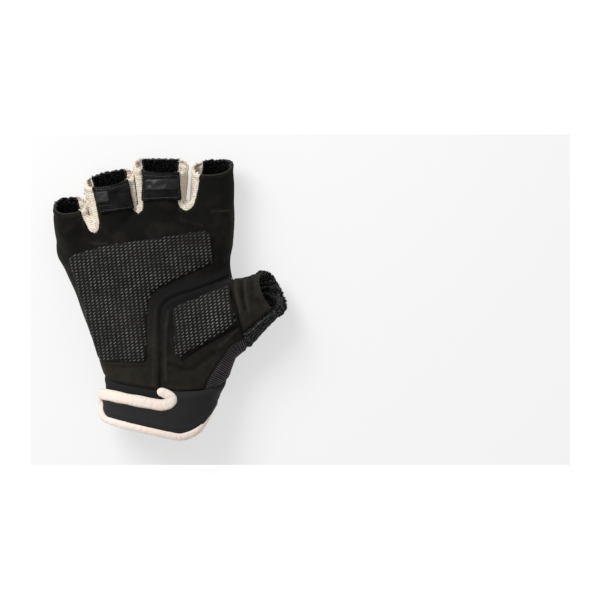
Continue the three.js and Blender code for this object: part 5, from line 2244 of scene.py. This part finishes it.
@dataclass
class Studio:
    """The pale ground, the light and the camera."""

    picture: float = 600.0
    pixel: float = 0.53
    centre: float = 71.55
    height: float = 1350.0
    level: float = 17.0
    floor: float = 3000.0
    sensor: float = 36.0
    glow: float = 0.5
    window: tuple[float, float, float] = (-500, 600, 780)
    window_side: float = 620
    window_power: float = 11.4
    card: tuple[float, float, float, float] = (30.0, 134.0, 570.0, 465.0)

    def build(self) -> None:
        """Sets the stage."""
        floor = Paper("floor_white", (0.45, 0.45, 0.45), 0.75)
        self.ground("floor", (self.floor, self.floor), (0.0, 0.0), -0.6, floor)
        left, top, right, bottom = self.card
        wide, deep = (right - left) * self.pixel, (bottom - top) * self.pixel
        x = self.centre + ((left + right) / 2 - self.picture / 2) * self.pixel
        y = (self.picture / 2 - (top + bottom) / 2) * self.pixel
        scale = (self.height + 0.2) / (self.height - self.level)
        card = Paper("card_white", (0.33, 0.33, 0.33), 0.585)
        self.ground("card", (wide * scale, deep * scale), (x, y * scale), 0.0, card)
        self.lights()
        self.camera()

    def ground(
        self, name: str, size: tuple[float, float], centre: tuple[float, float], z: float, paper: Paper
    ) -> None:
        """Lays a flat sheet.

        Args:
            name: its name.
            size: its width and depth, in millimetres.
            centre: the place of its middle.
            z: its height.
            paper: its finish.
        """
        bm = bmesh.new()
        bmesh.ops.create_grid(bm, x_segments=1, y_segments=1, size=0.5)
        bmesh.ops.scale(bm, verts=bm.verts[:], vec=(size[0] * MM, size[1] * MM, 1))
        bmesh.ops.translate(bm, verts=bm.verts[:], vec=(centre[0] * MM, centre[1] * MM, z * MM))
        sheet = to_object(name, bm)
        sheet.data.materials.append(paper.material())

    def lights(self) -> None:
        """Hangs a wide soft light at the upper left, over an even glow."""
        world = bpy.data.worlds.new("glow")
        world.use_nodes = True
        background = world.node_tree.nodes["Background"]
        background.inputs["Color"].default_value = (1, 1, 1, 1)
        background.inputs["Strength"].default_value = self.glow
        bpy.context.scene.world = world
        self.lamp("window", self.window, self.window_side, self.window_power)

    def lamp(self, name: str, place: tuple[float, float, float], size: float, power: float) -> None:
        """Hangs a square soft light that faces the glove.

        Args:
            name: its name.
            place: where it hangs, in millimetres.
            size: its side.
            power: its strength, in watts.
        """
        light = bpy.data.lights.new(name, "AREA")
        light.energy, light.size = power, size * MM
        lamp = bpy.data.objects.new(name, light)
        lamp.location = Vector(place) * MM
        lamp.rotation_euler = (-Vector(place)).to_track_quat("-Z", "Y").to_euler()
        bpy.context.scene.collection.objects.link(lamp)

    def camera(self) -> None:
        """Looks straight down."""
        lens = bpy.data.cameras.new("camera")
        distance = self.height - self.level
        lens.sensor_width = self.sensor
        lens.lens = self.sensor * distance / (self.picture * self.pixel)
        camera = bpy.data.objects.new("camera", lens)
        camera.location = (self.centre * MM, 0.0, self.height * MM)
        bpy.context.scene.collection.objects.link(camera)
        bpy.context.scene.camera = camera
        bpy.context.scene.view_settings.view_transform = "Standard"


def main() -> None:
    """Builds the glove."""
    logging.basicConfig(level=logging.INFO, format="%(message)s")
    form = Form()
    skin = Skin(form)
    LOG.info("the form has %d faces", len(skin.bm.faces))
    wardrobe = Wardrobe()
    Hand(form, skin, wardrobe).build()
    Fourchettes(form, skin, wardrobe).build()
    Frays(skin, wardrobe).build()
    GripPad(
        skin, wardrobe, "pad_palm",
        (
            (-51.6, 23.6, 4), (-28, 29.6, 40), (24.8, 37.2, 4), (26.2, 19.4, 4), (-8.4, 3.6, 12),
            (-8.6, -33, 4), (-34.6, -32.6, 5)
        ),
        palm_shine
    ).build()
    GripPad(
        skin, wardrobe, "pad_thenar", ((4, -3.6, 3.5), (34.4, 8.2, 2.5), (38.4, -12.8, 3), (6, -32, 3)),
        thenar_shine, slope=0.13
    ).build()
    PullTab(
        skin, form, wardrobe, "pull_tab_middle", Limb.MIDDLE,
        ((-10.9, 72, 0.6), (7.3, 72, 0.6), (8.7, 52.6, 1.2), (-11.9, 52.0, 1.2)), "tab_patch_middle",
        ((-10, 57.2, 1.2), (6.9, 57.8, 1.2), (6.4, 64.2, 1.2), (-9.7, 63.8, 1.2)), wardrobe.glossy,
        (
            ((-10.2, 65.6), (-6, 65.2), (-1, 65.1), (3, 65.3), (6.4, 65.6)),
            ((-11, 53.4), (-1, 53.8), (7.6, 54)), ((-10.9, 54.6), (-10.7, 63.6)), ((7.8, 55), (7.3, 64))
        )
    ).build()
    PullTab(
        skin, form, wardrobe, "pull_tab_ring", Limb.RING,
        ((-37.4, 66, 0.6), (-20.2, 66, 0.6), (-16.4, 47.8, 1.2), (-33.6, 45.4, 1.2)), "tab_patch_ring",
        ((-35.2, 50.6, 1.0), (-28.4, 51.4, 1.0), (-29.2, 57.8, 1.0), (-36, 57.2, 1.0)), wardrobe.dull,
        (
            ((-36.8, 58.4), (-33, 58), (-28, 58.6), (-23, 60), (-20.4, 61)),
            ((-33.2, 46.8), (-25, 47.8), (-17.6, 49)), ((-34.2, 48.2), (-35.4, 52.6), (-36.6, 57.2)),
            ((-33.6, 49.6), (-28, 50)), ((-35.8, 58.9), (-29, 59.4))
        )
    ).build()
    Cuff(form, skin, wardrobe).build()
    skin.bm.free()
    Studio().build()


if __name__ == "__main__":
    main()
